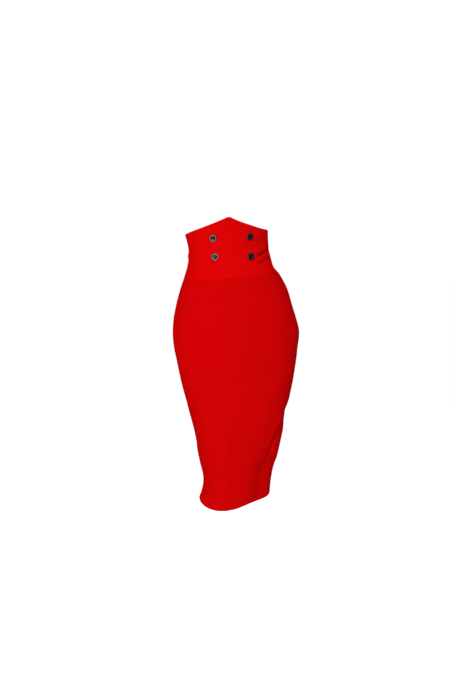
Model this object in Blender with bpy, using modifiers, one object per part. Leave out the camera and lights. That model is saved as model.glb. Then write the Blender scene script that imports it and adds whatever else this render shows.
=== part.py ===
"""High-waisted pencil skirt of midi length, standing open as it is worn.

Metres, +Z up.  The origin is the middle of the waist, the skirt's narrowest ring.
The centre front faces -Y and the wearer's left side is +X.

The cloth is one smooth form, cut into panels along its seams:
    angle  runs round the body in degrees: 0 centre front, 90 the wearer's left
           side seam, 180 centre back, -90 (or 270) the right side seam
    level  is the height above or below the waist
"""

import math
from collections import namedtuple
from functools import lru_cache

import bmesh
import bpy
from mathutils import Matrix, Vector

# ---------------------------------------------------------------- driving sizes

SEAM_GAP = 0.0003  # between two pieces that are sewn together or lie on each other
SKIRT_WALL = 0.0016  # one layer of stretch suiting
BAND_WALL = 0.0022  # two layers, because the band is faced with itself
HEM_WALL = 0.0026  # two layers below the hem stitching
HEM_DEPTH = 0.018
HEM_STEP = 0.0015  # height over which the wall thins above the turned-up hem
ANGLE_REACH = 0.5  # either side of a point where the form's run and slope are measured
LEVEL_REACH = 0.002

# The form at each level: where the two side seams lie, and how far the cloth
# reaches to the front and the back.  squareness fills out the corners.
Section = namedtuple("Section", "level min_x max_x front_y side_y back_y squareness")
SECTIONS = (
    Section(0.100, -0.1320, 0.1120, -0.0985, -0.002, 0.0950, 0.04),
    Section(0.050, -0.1255, 0.1115, -0.0940, -0.002, 0.0910, 0.04),
    Section(0.020, -0.1175, 0.1130, -0.0910, -0.001, 0.0870, 0.04),
    Section(0.000, -0.1140, 0.1155, -0.0900, 0.000, 0.0850, 0.04),
    Section(-0.030, -0.1145, 0.1225, -0.0920, 0.000, 0.0880, 0.04),
    Section(-0.050, -0.1180, 0.1300, -0.0945, 0.001, 0.0920, 0.05),
    Section(-0.062, -0.1215, 0.1412, -0.0960, 0.001, 0.0950, 0.05),
    Section(-0.080, -0.1270, 0.1530, -0.0980, 0.002, 0.1000, 0.06),
    Section(-0.110, -0.1368, 0.1685, -0.1000, 0.003, 0.1070, 0.06),
    Section(-0.150, -0.1475, 0.1810, -0.1010, 0.004, 0.1130, 0.06),
    Section(-0.190, -0.1553, 0.1935, -0.1020, 0.004, 0.1170, 0.06),
    Section(-0.230, -0.1588, 0.2030, -0.1020, 0.003, 0.1180, 0.06),
    Section(-0.270, -0.1568, 0.2000, -0.1020, 0.002, 0.1150, 0.07),
    Section(-0.315, -0.1475, 0.1940, -0.1020, 0.000, 0.1080, 0.10),
    Section(-0.380, -0.1335, 0.1830, -0.1010, -0.001, 0.0990, 0.14),
    Section(-0.450, -0.1150, 0.1660, -0.1000, -0.003, 0.0920, 0.15),
    Section(-0.520, -0.0970, 0.1480, -0.0980, -0.005, 0.0880, 0.14),
    Section(-0.590, -0.0845, 0.1328, -0.0950, -0.007, 0.0860, 0.11),
    Section(-0.650, -0.0733, 0.1203, -0.0920, -0.009, 0.0860, 0.08),
    Section(-0.680, -0.0760, 0.1174, -0.0915, -0.010, 0.0865, 0.08),
    Section(-0.710, -0.0865, 0.1150, -0.0920, -0.010, 0.0875, 0.07),
    Section(-0.750, -0.0940, 0.1134, -0.0930, -0.010, 0.0885, 0.07),
)

# The largest folds.  height is out of the cloth where positive, into it where
# negative, and the path is a run of (angle, level) points.
Fold = namedtuple("Fold", "height half_width path")
FOLDS = (
    # pinched waist on the wearer's left: a sharp valley, the roll below it, a softer valley
    Fold(-0.0072, 0.0062, (
        (29, -0.0222), (37, -0.0172), (44, -0.0126), (54, -0.0066),
        (66, -0.0025), (78, -0.0002), (90, 0.0012),
    )),
    Fold(0.0028, 0.0066, ((30, -0.0300), (38, -0.0248), (50, -0.0182), (60, -0.0138), (74, -0.0108))),
    Fold(-0.0026, 0.0066, (
        (22, -0.0372), (29, -0.0385), (36, -0.0385), (42, -0.0354), (48, -0.0312),
        (58, -0.0268), (70, -0.0238), (82, -0.0230),
    )),
    Fold(-0.0022, 0.0090, ((38, 0.0130), (48, 0.0203), (58, 0.0260), (68, 0.0290))),
    # the same pinch, lighter, on the wearer's right
    Fold(-0.0028, 0.0070, (
        (-46, -0.0150), (-58, -0.0105), (-72, -0.0060), (-86, -0.0035),
        (-100, -0.0030),
    )),
    Fold(0.0018, 0.0076, ((-50, -0.0290), (-70, -0.0220), (-90, -0.0170), (-112, -0.0165))),
    # hollow of the back above the seat
    Fold(-0.0034, 0.0076, (
        (144, -0.0240), (158, -0.0290), (174, -0.0320), (190, -0.0315),
        (206, -0.0270), (218, -0.0215),
    )),
    Fold(0.0020, 0.0080, (
        (148, -0.0430), (162, -0.0480), (178, -0.0505), (194, -0.0490),
        (212, -0.0430),
    )),
    # long crease that runs from behind the wearer's left leg down its front
    Fold(-0.0105, 0.0105, (
        (132, -0.402), (116, -0.412), (102, -0.423), (91, -0.434), (80, -0.446), (71, -0.462), (65, -0.484),
        (58, -0.512), (52, -0.535), (48, -0.562), (47, -0.596),
    )),
    # flat drop of the cloth beside the knees, and the roll over the right leg
    Fold(-0.0115, 0.0310, ((45, -0.540), (41, -0.600), (37, -0.660), (35, -0.720), (35, -0.800))),
    # rolls on both sides of the long crease
    Fold(0.0040, 0.0120, ((93, -0.474), (84, -0.500), (76, -0.534), (71, -0.580), (70, -0.632))),
    Fold(0.0020, 0.0110, ((66, -0.440), (55, -0.468), (46, -0.502), (40, -0.534), (38, -0.562))),
    Fold(0.0050, 0.0260, (
        (-16, -0.420), (-20, -0.500), (-23, -0.585), (-25, -0.645), (-25, -0.700), (-25, -0.790),
    )),
    # the crease's fainter mirror, behind the right leg
    Fold(-0.0036, 0.0140, ((-112, -0.500), (-122, -0.545), (-127, -0.600), (-128, -0.655))),
    Fold(0.0022, 0.0150, ((-102, -0.540), (-106, -0.590), (-108, -0.640))),
    # soft drags under the seat
    Fold(-0.0028, 0.0150, ((122, -0.316), (138, -0.334), (160, -0.345))),
    Fold(-0.0024, 0.0150, ((238, -0.328), (222, -0.346), (202, -0.352))),
)
FADE = 0.30  # share of a fold's length over which each end dies away

# The edges, by angle: a V-shaped top with a blunt point, and a hem that dips in front.
Edge = namedtuple("Edge", "angle level")
TOP_EDGE = (
    Edge(-180, 0.0455), Edge(-130, 0.0437), Edge(-90, 0.0438), Edge(-68, 0.0497),
    Edge(-44, 0.0606), Edge(-27, 0.0717), Edge(-13, 0.0829), Edge(-5, 0.0904),
    Edge(-1, 0.0926), Edge(3, 0.0892), Edge(10, 0.0826), Edge(26, 0.0719),
    Edge(49, 0.0611), Edge(72, 0.0572), Edge(90, 0.0560), Edge(130, 0.0522),
    Edge(180, 0.0455),
)
HEM = (
    Edge(-180, -0.6990), Edge(-145, -0.7040), Edge(-115, -0.7055), Edge(-92, -0.7065),
    Edge(-76, -0.7142), Edge(-60, -0.7220), Edge(-44, -0.7289), Edge(-24, -0.7323),
    Edge(-5, -0.7277), Edge(18, -0.7138), Edge(39, -0.7080), Edge(58, -0.7012),
    Edge(78, -0.6920), Edge(95, -0.6830), Edge(120, -0.6815), Edge(150, -0.6885),
    Edge(180, -0.6990),
)
# Seam between the band and the skirt: lowest at the wearer's right side.
SEAM_FRONT = -0.0763
SEAM_SIDES = -0.0740
SEAM_BACK = -0.0775
SEAM_RISE = 0.0140

# Centre back: the seam edges part round the zip slider and open into a walking slit.
PARTING_DEPTH = 0.014
PARTING_HALF_WIDTH = 0.0013
SLIT_LENGTH = 0.165
SLIT_HALF_WIDTH = 0.0060
SLIT_FLARE = 1.5  # power with which the slit widens towards the hem

# Columns across each panel, and rows up the skirt and the band.
FRONT_COLUMNS = 28
BACK_COLUMNS = 13
SKIRT_ROWS = 28
BAND_ROWS = 24
BAND_BACK_ROWS = 20
# How strongly a panel's columns gather towards its far edge, where its folds lie.
FRONT_GATHER = 0.2917
BACK_GATHER = 0.30
BAND_GATHER = -0.20

BUTTON_RADIUS = 0.0104
BUTTON_HOLE_RADIUS = 0.00095
BUTTON_HOLE_RING = 0.0021
BUTTON_STEPS = 20
BUTTON_HOLE_SEGMENTS = 8
DRILL_DEPTH = 0.012
# Outer side, top to bottom, as (share of the radius, height over the cloth).
BUTTON_PROFILE = (
    (0.00, 0.0017),
    (0.34, 0.0018),
    (0.56, 0.0022),
    (0.65, 0.0033),
    (0.76, 0.0035),
    (0.88, 0.0034),
    (0.96, 0.0028),
    (1.00, 0.0018),
    (0.95, 0.0007),
    (0.82, 0.0000),
    (0.00, 0.0000),
)
Button = namedtuple("Button", "name angle level")
BUTTONS = (
    Button("button_upper_right", -24.6, 0.0338),
    Button("button_lower_right", -25.8, -0.0186),
    Button("button_upper_left", 26.4, 0.0377),
    Button("button_lower_left", 23.6, -0.0178),
)

ZIP_TAPE_WIDTH = 0.0125
ZIP_TAPE_THICKNESS = 0.0008
ZIP_TOP_CLEARANCE = 0.0030
ZIP_END_LEVEL = -0.195
ZIP_COLUMNS = 2
ZIP_STEP_RUN = 0.020  # below the band seam, where the tape comes out to the thinner wall

SLIDER_BELOW_TOP = 0.0052
SLIDER_SHOE = (0.0042, 0.0012, 0.0065)  # outside the cloth
SLIDER_BODY = (0.0050, 0.0018, 0.0072)  # inside, behind the tape
SLIDER_NECK = (0.0014, 0.0030)  # across and along the zip
SLIDER_BEVEL = 0.0003
SLIDER_ROOT = 0.0003  # the neck's top below the shoe's outer face
SLIDER_PLAY = 0.0006  # between the slider and the cloth or tape on each side of it
RING_RADIUS = 0.0016
RING_TUBE = 0.0005
PULL_AXIS_OUT = 0.0025
PULL_THICKNESS = 0.0009
PULL_TOP_HALF = 0.0017
PULL_WIDE_HALF = 0.0027
PULL_WIDEST = 0.78  # share of the length at which it is widest
PULL_LENGTH = 0.0170
PULL_EYE_HALF = 0.00095
PULL_EYE_END = 0.0027

SHARP_ANGLE = math.radians(38)

CLOTH_RED = (0.62, 0.004, 0.006, 1.0)
ZIP_RED = (0.50, 0.004, 0.006, 1.0)
BUTTON_BLACK = (0.010, 0.010, 0.011, 1.0)
ZIP_STEEL = (0.55, 0.55, 0.56, 1.0)


# ---------------------------------------------------------------- the form

def read_smoothly(rows, key, place, column):
    """A column of a table, read smoothly between its rows at a place in its key column."""
    places = [getattr(row, key) for row in rows]
    values = [getattr(row, column) for row in rows]
    rising = 1 if places[-1] > places[0] else -1
    high, last = 1, len(rows) - 1
    while high < last and (places[high] - place) * rising < 0:
        high += 1
    low = high - 1
    before, after = max(low - 1, 0), min(high + 1, last)
    span = places[high] - places[low]
    t = min(max((place - places[low]) / span, 0.0), 1.0)
    low_slope = (values[high] - values[before]) / (places[high] - places[before])
    high_slope = (values[after] - values[low]) / (places[after] - places[low])
    return (
        values[low] * (1 + 2 * t) * (1 - t) ** 2
        + values[high] * t * t * (3 - 2 * t)
        + span * low_slope * t * (1 - t) ** 2
        - span * high_slope * t * t * (1 - t)
    )


@lru_cache(maxsize=None)
def section_at(level):
    return Section(level, *(read_smoothly(SECTIONS, "level", level, c) for c in Section._fields[1:]))


def bare_point(angle, level):
    """A point of the form without its folds."""
    s = section_at(round(level, 7))
    across, along = math.sin(math.radians(angle)), math.cos(math.radians(angle))
    depth = s.side_y - s.front_y if along > 0 else s.back_y - s.side_y
    return Vector((
        (s.min_x + s.max_x) / 2 + (s.max_x - s.min_x) / 2 * across * (1 + s.squareness * along**2),
        s.side_y - depth * along * (1 + s.squareness * across**2),
        level,
    ))


def round_step(angle, level):
    """How far the cloth runs for one degree."""
    sideways = bare_point(angle + ANGLE_REACH, level) - bare_point(angle - ANGLE_REACH, level)
    return sideways.length / (2 * ANGLE_REACH)


def outward(angle, level):
    sideways = bare_point(angle + ANGLE_REACH, level) - bare_point(angle - ANGLE_REACH, level)
    upwards = bare_point(angle, level + LEVEL_REACH) - bare_point(angle, level - LEVEL_REACH)
    return sideways.cross(upwards).normalized()


def along_path(path, angle, level):
    """(distance from the path, share of its length) of a point on the cloth."""
    metres = round_step(angle, level)
    middle = (path[0][0] + path[-1][0]) / 2
    ahead = (middle - angle + 180) % 360 - 180
    flat = [((a - middle + ahead) * metres, z - level) for a, z in path]
    runs = [math.dist(a, b) for a, b in zip(flat, flat[1:])]
    best, share, passed = math.inf, 0.0, 0.0
    for (ax, az), (bx, bz), run in zip(flat, flat[1:], runs):
        t = min(max(-(ax * (bx - ax) + az * (bz - az)) / (run * run), 0.0), 1.0)
        away = math.hypot(ax + t * (bx - ax), az + t * (bz - az))
        if away < best:
            best, share = away, (passed + t * run) / sum(runs)
        passed += run
    return best, share


def relief(angle, level):
    """How far the folds lift the cloth off the form, or sink it."""
    total = 0.0
    for fold in FOLDS:
        away, share = along_path(fold.path, angle, level)
        if away < 3 * fold.half_width:
            end = min(min(share, 1 - share) / FADE, 1.0)
            total += fold.height * math.exp(-((away / fold.half_width) ** 2)) * end * end * (3 - 2 * end)
    return total


def cloth_point(angle, level, inward=0.0):
    """A point of the cloth's outer face, or of a surface that far inside it."""
    return bare_point(angle, level) + outward(angle, level) * (relief(angle, level) - inward)


# ---------------------------------------------------------------- edges and seams

@lru_cache(maxsize=None)
def edge_level(edge, angle):
    return read_smoothly(edge, "angle", (angle + 180) % 360 - 180, "level")


def top_edge(angle):
    return edge_level(TOP_EDGE, angle)


def hem_edge(angle):
    return edge_level(HEM, angle)


def band_seam(angle):
    across, along = math.sin(math.radians(angle)), math.cos(math.radians(angle))
    middle = SEAM_FRONT if along > 0 else SEAM_BACK
    return SEAM_SIDES + (middle - SEAM_SIDES) * along**2 + SEAM_RISE * across


def side_inset(_level):
    return SEAM_GAP / 2


def centre_back_inset(level):
    """Half of the gap at the centre back."""
    from_top = top_edge(180) - level
    from_slit = hem_edge(180) + SLIT_LENGTH - level
    parting = PARTING_HALF_WIDTH * max(1 - from_top / PARTING_DEPTH, 0.0)
    slit = SLIT_HALF_WIDTH * max(from_slit / SLIT_LENGTH, 0.0) ** SLIT_FLARE
    return SEAM_GAP / 2 + parting + slit


# ---------------------------------------------------------------- building tools

def clear_scene():
    for obj in list(bpy.data.objects):
        bpy.data.objects.remove(obj, do_unlink=True)


def new_collection(name):
    collection = bpy.data.collections.new(name)
    bpy.context.scene.collection.children.link(collection)
    return collection


def new_material(name, colour, roughness, metallic=0.0):
    material = bpy.data.materials.new(name)
    material.use_nodes = True
    shader = material.node_tree.nodes["Principled BSDF"]
    shader.inputs["Base Color"].default_value = colour
    shader.inputs["Roughness"].default_value = roughness
    shader.inputs["Metallic"].default_value = metallic
    return material


def add_object(name, data, collection, material, matrix=None):
    obj = bpy.data.objects.new(name, data)
    collection.objects.link(obj)
    if material is not None and not data.materials:
        data.materials.append(material)
    if matrix is not None:
        obj.matrix_world = matrix
    return obj


def wall_mesh(name, outer, inner):
    """A closed wall lofted between two grids of points, each a list of columns that run upwards.

    Both grids follow the form's own slope, so that neighbouring pieces keep an even gap through
    their whole thickness."""
    columns, rows = len(outer), len(outer[0])
    points = [p for column in outer for p in column] + [p for column in inner for p in column]
    inner_start = columns * rows

    def at(side, column, row):
        return side * inner_start + column * rows + row

    faces = []
    for c in range(columns - 1):
        for r in range(rows - 1):
            faces.append((at(0, c, r), at(0, c + 1, r), at(0, c + 1, r + 1), at(0, c, r + 1)))
            faces.append((at(1, c, r), at(1, c, r + 1), at(1, c + 1, r + 1), at(1, c + 1, r)))
    for c in range(columns - 1):
        faces.append((at(0, c + 1, 0), at(0, c, 0), at(1, c, 0), at(1, c + 1, 0)))
        top = rows - 1
        faces.append((at(0, c, top), at(0, c + 1, top), at(1, c + 1, top), at(1, c, top)))
    for r in range(rows - 1):
        faces.append((at(0, 0, r), at(0, 0, r + 1), at(1, 0, r + 1), at(1, 0, r)))
        end = columns - 1
        faces.append((at(0, end, r + 1), at(0, end, r), at(1, end, r), at(1, end, r + 1)))
    mesh = bpy.data.meshes.new(name)
    mesh.from_pydata([tuple(p) for p in points], [], faces)
    mesh.shade_smooth()
    mesh.set_sharp_from_angle(angle=SHARP_ANGLE)
    return mesh


def gathered(share, gather):
    """A share of 1 whose even steps grow closer towards 1, or towards 0 where gather is negative."""
    return share + gather * share * (1 - share)


def panel_grid(start, end, insets, low_edge, high_edge, column_shares, row_shares):
    """(angle, level) of a panel's grid between two angles, kept off each by its inset."""
    grid = []
    for share in column_shares:
        nominal = start + (end - start) * share
        low, high = low_edge(nominal), high_edge(nominal)
        column = []
        for row in row_shares:
            level = low + (high - low) * row
            first = start + insets[0](level) / round_step(start, level)
            last = end - insets[1](level) / round_step(end, level)
            column.append((first + (last - first) * share, level))
        grid.append(column)
    return grid


def shares(count, gather=0.0):
    return [gathered(i / count, gather) for i in range(count + 1)]


def evaluated_mesh(obj, name):
    """The object's mesh as its modifiers leave it."""
    bpy.context.view_layer.update()
    graph = bpy.context.evaluated_depsgraph_get()
    mesh = bpy.data.meshes.new_from_object(obj.evaluated_get(graph))
    mesh.name = name
    return mesh


def boolean(obj, other, operation):
    modifier = obj.modifiers.new(operation.lower(), "BOOLEAN")
    modifier.operation = operation
    modifier.object = other
    modifier.solver = "EXACT"


def helper(mesh_maker, name, collection):
    """An object that only joins or cuts another one."""
    mesh = bpy.data.meshes.new(name)
    shape = bmesh.new()
    mesh_maker(shape)
    shape.to_mesh(mesh)
    shape.free()
    obj = add_object(name, mesh, collection, None)
    obj.hide_render = True
    obj.display_type = "WIRE"
    return obj


def box(size, centre):
    place = Matrix.Translation(centre) @ Matrix.Diagonal((*size, 1))

    def make(shape):
        bmesh.ops.create_cube(shape, size=1, matrix=place)

    return make


# ---------------------------------------------------------------- cloth panels

def skirt_row_shares():
    """Even rows, but for a close pair where the turned-up hem ends."""
    tall = band_seam(0) - hem_edge(0)
    first = (HEM_DEPTH + HEM_STEP) / tall
    return [0.0, HEM_DEPTH / tall] + [first + (1 - first) * share for share in shares(SKIRT_ROWS - 2)]


def skirt_walls():
    """The wall's thickness at each row of the skirt."""
    return [HEM_WALL] * 2 + [SKIRT_WALL] * (SKIRT_ROWS - 1)


def cloth_panel(name, grid, walls, collection, material):
    outer = [[cloth_point(a, z) for a, z in column] for column in grid]
    inner = [[cloth_point(a, z, wall) for (a, z), wall in zip(column, walls)] for column in grid]
    return add_object(name, wall_mesh(name, outer, inner), collection, material)


def cloth_grids():
    """Every panel's grid by name."""
    half = SEAM_GAP / 2

    def above_seam(angle):
        return band_seam(angle) + half

    def below_seam(angle):
        return band_seam(angle) - half

    front = shares(FRONT_COLUMNS, FRONT_GATHER)
    left = shares(BACK_COLUMNS, -BACK_GATHER)
    right = shares(BACK_COLUMNS, BACK_GATHER)
    pieces = (
        ("front", -90, 90, (side_inset, side_inset), front, BAND_ROWS),
        ("back_left", 90, 180, (side_inset, centre_back_inset), left, BAND_BACK_ROWS),
        ("back_right", 180, 270, (centre_back_inset, side_inset), right, BAND_BACK_ROWS),
    )
    grids = {}
    for side, start, end, insets, columns, band_rows in pieces:
        grids["skirt_" + side] = panel_grid(
            start, end, insets, hem_edge, below_seam, columns, skirt_row_shares()
        )
        grids["waistband_" + side] = panel_grid(
            start, end, insets, above_seam, top_edge, columns, shares(band_rows, BAND_GATHER)
        )
    return grids


def make_cloth(grids, collection, material):
    for name, grid in grids.items():
        walls = skirt_walls() if name.startswith("skirt") else [BAND_WALL] * len(grid[0])
        cloth_panel(name, grid, walls, collection, material)


# ---------------------------------------------------------------- buttons

def button_mesh(cutters):
    """A dished button with a raised rim and four holes, its flat back at z = 0."""
    profile = bpy.data.meshes.new("button_profile")
    points = [(share * BUTTON_RADIUS, 0, height) for share, height in BUTTON_PROFILE]
    profile.from_pydata(points, [(i, i + 1) for i in range(len(points) - 1)], [])
    turned = add_object("button_turned", profile, cutters, None)
    turned.hide_render = True
    screw = turned.modifiers.new("turn", "SCREW")
    screw.steps = screw.render_steps = BUTTON_STEPS
    screw.use_merge_vertices = True
    screw.merge_threshold = 0.00001
    for turn in range(4):
        quarter = Matrix.Rotation(math.radians(45 + 90 * turn), 4, "Z")
        place = quarter @ Matrix.Translation((BUTTON_HOLE_RING, 0, 0))

        def drill(shape, place=place):
            bmesh.ops.create_cone(
                shape, cap_ends=True, segments=BUTTON_HOLE_SEGMENTS, matrix=place,
                radius1=BUTTON_HOLE_RADIUS, radius2=BUTTON_HOLE_RADIUS, depth=DRILL_DEPTH,
            )

        boolean(turned, helper(drill, f"button_hole_{turn}", cutters), "DIFFERENCE")
    mesh = evaluated_mesh(turned, "button")
    mesh.shade_smooth()
    mesh.set_sharp_from_angle(angle=SHARP_ANGLE)
    return mesh


def seat_on_cloth(angle, level, radius):
    """Where a flat round piece lies on the cloth, clear of every point under it by the seam gap."""
    out = outward(angle, level)
    right = Vector((0, 0, 1)).cross(out).normalized()
    up = out.cross(right)
    centre = cloth_point(angle, level)
    metres = round_step(angle, level)
    highest = 0.0
    for ring in (0.5, 1.0):
        for turn in range(0, 360, 30):
            reach = Matrix.Rotation(math.radians(turn), 2) @ Vector((ring * radius, 0))
            edge = cloth_point(angle + reach.x / metres, level + reach.y)
            highest = max(highest, (edge - centre).dot(out))
    place = centre + out * (highest + SEAM_GAP)
    return Matrix.Translation(place) @ Matrix((right, up, out)).transposed().to_4x4()


def make_buttons(collection, cutters, material):
    mesh = button_mesh(cutters)
    mesh.materials.clear()
    for button in BUTTONS:
        seat = seat_on_cloth(button.angle, button.level, BUTTON_RADIUS)
        add_object(button.name, mesh, collection, material, seat)


# ---------------------------------------------------------------- zip

def tape_depth(level):
    """How deep the tape lies: behind the band's wall, easing out to behind the skirt's."""
    into_skirt = min(max((band_seam(180) - SEAM_GAP - level) / ZIP_STEP_RUN, 0.0), 1.0)
    return BAND_WALL + (SKIRT_WALL - BAND_WALL) * into_skirt + SEAM_GAP


def zip_tape(name, skirt_columns, band_columns, collection, material):
    """One tape, along the rows of the panels it is sewn behind.

    Each pair of columns is the panel's centre back edge and the column next to it."""
    highest = top_edge(180) - ZIP_TOP_CLEARANCE
    rows = [pair for pair in zip(*skirt_columns) if pair[0][1] >= ZIP_END_LEVEL]
    rows += [pair for pair in zip(*band_columns) if pair[0][1] <= highest]
    outer = [[] for _ in range(ZIP_COLUMNS + 1)]
    inner = [[] for _ in range(ZIP_COLUMNS + 1)]
    for edge, beside in rows:
        for depth, side in ((0.0, outer), (ZIP_TAPE_THICKNESS, inner)):
            start, end = (cloth_point(a, z, tape_depth(z) + depth) for a, z in (edge, beside))
            for c in range(ZIP_COLUMNS + 1):
                share = ZIP_TAPE_WIDTH / (end - start).length * c / ZIP_COLUMNS
                side[c].append(start.lerp(end, share))
    if skirt_columns[0][0][0] > skirt_columns[1][0][0]:  # columns have to run the way the angle does
        outer.reverse()
        inner.reverse()
    return add_object(name, wall_mesh(name, outer, inner), collection, material)


def make_tapes(grids, collection, material):
    for side, edge, beside in (("left", -1, -2), ("right", 0, 1)):
        panels = (grids["skirt_back_" + side], grids["waistband_back_" + side])
        zip_tape("zip_tape_" + side, *((grid[edge], grid[beside]) for grid in panels), collection, material)


def slider_frame():
    """Origin on the outer face at the centre back, +Y out of the cloth and +Z up along the zip."""
    level = top_edge(180) - SLIDER_BELOW_TOP
    out = outward(180, level)
    reach = SLIDER_BODY[2] / 2
    along = cloth_point(180, level + reach) - cloth_point(180, level - reach)
    right = out.cross(along).normalized()
    up = right.cross(out)
    return Matrix.Translation(cloth_point(180, level)) @ Matrix((right, out, up)).transposed().to_4x4()


def make_slider(collection, cutters, material):
    frame = slider_frame()
    behind = BAND_WALL + SEAM_GAP + ZIP_TAPE_THICKNESS + SLIDER_PLAY
    shoe_y, body_y = SLIDER_SHOE[1], SLIDER_BODY[1]
    neck_x, neck_z = SLIDER_NECK
    shoe_top = SLIDER_PLAY + shoe_y
    neck_y = behind + shoe_top
    shoe = helper(box(SLIDER_SHOE, (0, SLIDER_PLAY + shoe_y / 2, 0)), "slider_shoe", cutters)
    neck_place = (0, shoe_top - SLIDER_ROOT - neck_y / 2, 0)
    neck = helper(box((neck_x, neck_y, neck_z), neck_place), "slider_neck", cutters)
    ring_centre = Matrix.Translation((0, PULL_AXIS_OUT, 0)) @ Matrix.Rotation(math.radians(90), 4, "Y")
    bpy.ops.mesh.primitive_torus_add(
        major_radius=RING_RADIUS, minor_radius=RING_TUBE, major_segments=20, minor_segments=8
    )
    ring = bpy.context.object
    ring.name = "slider_ring"
    ring.data.transform(ring_centre)
    for owner in list(ring.users_collection):
        owner.objects.unlink(ring)
    cutters.objects.link(ring)
    ring.hide_render = True
    ring.display_type = "WIRE"
    body = helper(box(SLIDER_BODY, (0, -behind - body_y / 2, 0)), "slider_body", cutters)
    for piece in (shoe, body):
        bevel = piece.modifiers.new("edges", "BEVEL")
        bevel.width = SLIDER_BEVEL
        bevel.segments = 2
    for piece in (neck, body, ring):
        boolean(shoe, piece, "UNION")
    mesh = evaluated_mesh(shoe, "zip_slider")
    mesh.materials.clear()
    return add_object("zip_slider", mesh, collection, material, frame)


def pull_frame():
    """Origin on the hinge, +X along it, and +Y as near upright as the hinge allows."""
    slider = slider_frame()
    right = slider.to_3x3() @ Vector((1, 0, 0))
    up = (Vector((0, 0, 1)) - right * right.z).normalized()
    axes = Matrix((right, up, right.cross(up))).transposed().to_4x4()
    return Matrix.Translation(slider @ Vector((0, PULL_AXIS_OUT, 0))) @ axes


def flat_outline(curve, points, handles):
    spline = curve.splines.new("BEZIER")
    spline.bezier_points.add(len(points) - 1)
    for place, (x, y) in zip(spline.bezier_points, points):
        place.co = (x, y, 0)
        place.handle_left_type = place.handle_right_type = handles
    spline.use_cyclic_u = True


def make_pull(collection, material):
    """A teardrop tab with an eye round the slider's ring, hanging straight down from its hinge."""
    curve = bpy.data.curves.new("zip_pull", "CURVE")
    curve.dimensions = "2D"
    curve.fill_mode = "BOTH"
    curve.extrude = PULL_THICKNESS / 2
    curve.resolution_u = 5
    top = PULL_THICKNESS / 2
    flat_outline(curve, (
        (-PULL_TOP_HALF, top),
        (-PULL_TOP_HALF, -PULL_EYE_END),
        (-PULL_WIDE_HALF, -PULL_LENGTH * PULL_WIDEST),
        (0, -PULL_LENGTH),
        (PULL_WIDE_HALF, -PULL_LENGTH * PULL_WIDEST),
        (PULL_TOP_HALF, -PULL_EYE_END),
        (PULL_TOP_HALF, top),
    ), "AUTO")
    for corner in (0, 6):
        place = curve.splines[0].bezier_points[corner]
        place.handle_left_type = place.handle_right_type = "VECTOR"
    flat_outline(curve, (
        (-PULL_EYE_HALF, -PULL_THICKNESS / 2),
        (PULL_EYE_HALF, -PULL_THICKNESS / 2),
        (PULL_EYE_HALF, -PULL_EYE_END),
        (-PULL_EYE_HALF, -PULL_EYE_END),
    ), "VECTOR")
    return add_object("zip_pull", curve, collection, material, pull_frame())


# ---------------------------------------------------------------- the skirt

def main():
    clear_scene()
    skirt = new_collection("pencil_skirt")
    cutters = new_collection("helpers")
    cloth = new_material("red_suiting", CLOTH_RED, 0.75)
    tape = new_material("zip_tape_red", ZIP_RED, 0.8)
    black = new_material("button_black", BUTTON_BLACK, 0.22)
    steel = new_material("zip_steel", ZIP_STEEL, 0.3, metallic=1.0)
    grids = cloth_grids()
    make_cloth(grids, skirt, cloth)
    make_buttons(skirt, cutters, black)
    make_tapes(grids, skirt, tape)
    make_slider(skirt, cutters, steel)
    make_pull(skirt, steel)


main()
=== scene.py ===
"""Visual model of a red high-waisted pencil skirt, hollow and standing as it is worn.

Metres, +Z up, in the frame of the solids: the origin is the middle of the waist, the centre
front faces -Y and the wearer's left is +X.  Every piece is laid on the same form:
    angle  runs round the body in degrees: 0 centre front, 90 the wearer's left side seam,
           180 centre back, 270 (or -90) the right side seam
    level  is the height above or below the waist
The functions take numpy arrays of angles and levels.
"""

import math
from collections import namedtuple

import bmesh
import bpy
import numpy as np
from mathutils import Matrix, Vector


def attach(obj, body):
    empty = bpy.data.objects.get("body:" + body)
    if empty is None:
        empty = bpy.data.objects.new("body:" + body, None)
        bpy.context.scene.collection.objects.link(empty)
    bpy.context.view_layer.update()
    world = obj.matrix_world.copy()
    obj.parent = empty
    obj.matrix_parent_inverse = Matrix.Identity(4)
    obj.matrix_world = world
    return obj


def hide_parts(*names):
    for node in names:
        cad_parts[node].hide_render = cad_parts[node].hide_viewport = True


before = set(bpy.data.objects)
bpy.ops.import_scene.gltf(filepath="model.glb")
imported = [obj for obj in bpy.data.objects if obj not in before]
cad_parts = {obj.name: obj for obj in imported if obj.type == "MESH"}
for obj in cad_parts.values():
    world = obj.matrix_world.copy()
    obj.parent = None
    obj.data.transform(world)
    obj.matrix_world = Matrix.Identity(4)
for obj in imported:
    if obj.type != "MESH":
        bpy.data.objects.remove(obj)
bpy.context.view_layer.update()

# ---------------------------------------------------------------- sizes shared with the solids

SEAM_GAP = 0.0003  # between two pieces that are sewn together or lie on each other
SKIRT_WALL = 0.0016  # one layer of stretch suiting
BAND_WALL = 0.0022  # two layers
HEM_WALL = 0.0026  # two layers below the hem stitching
HEM_DEPTH = 0.018
HEM_STEP = 0.0015  # height over which the wall thins above the turned-up hem
ANGLE_REACH = 0.5  # either side of a point where the form's run and slope are measured
LEVEL_REACH = 0.002

# The form at each level: where the side seams lie, and how far the cloth reaches to the front
# and the back.  squareness fills out the corners.

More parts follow.
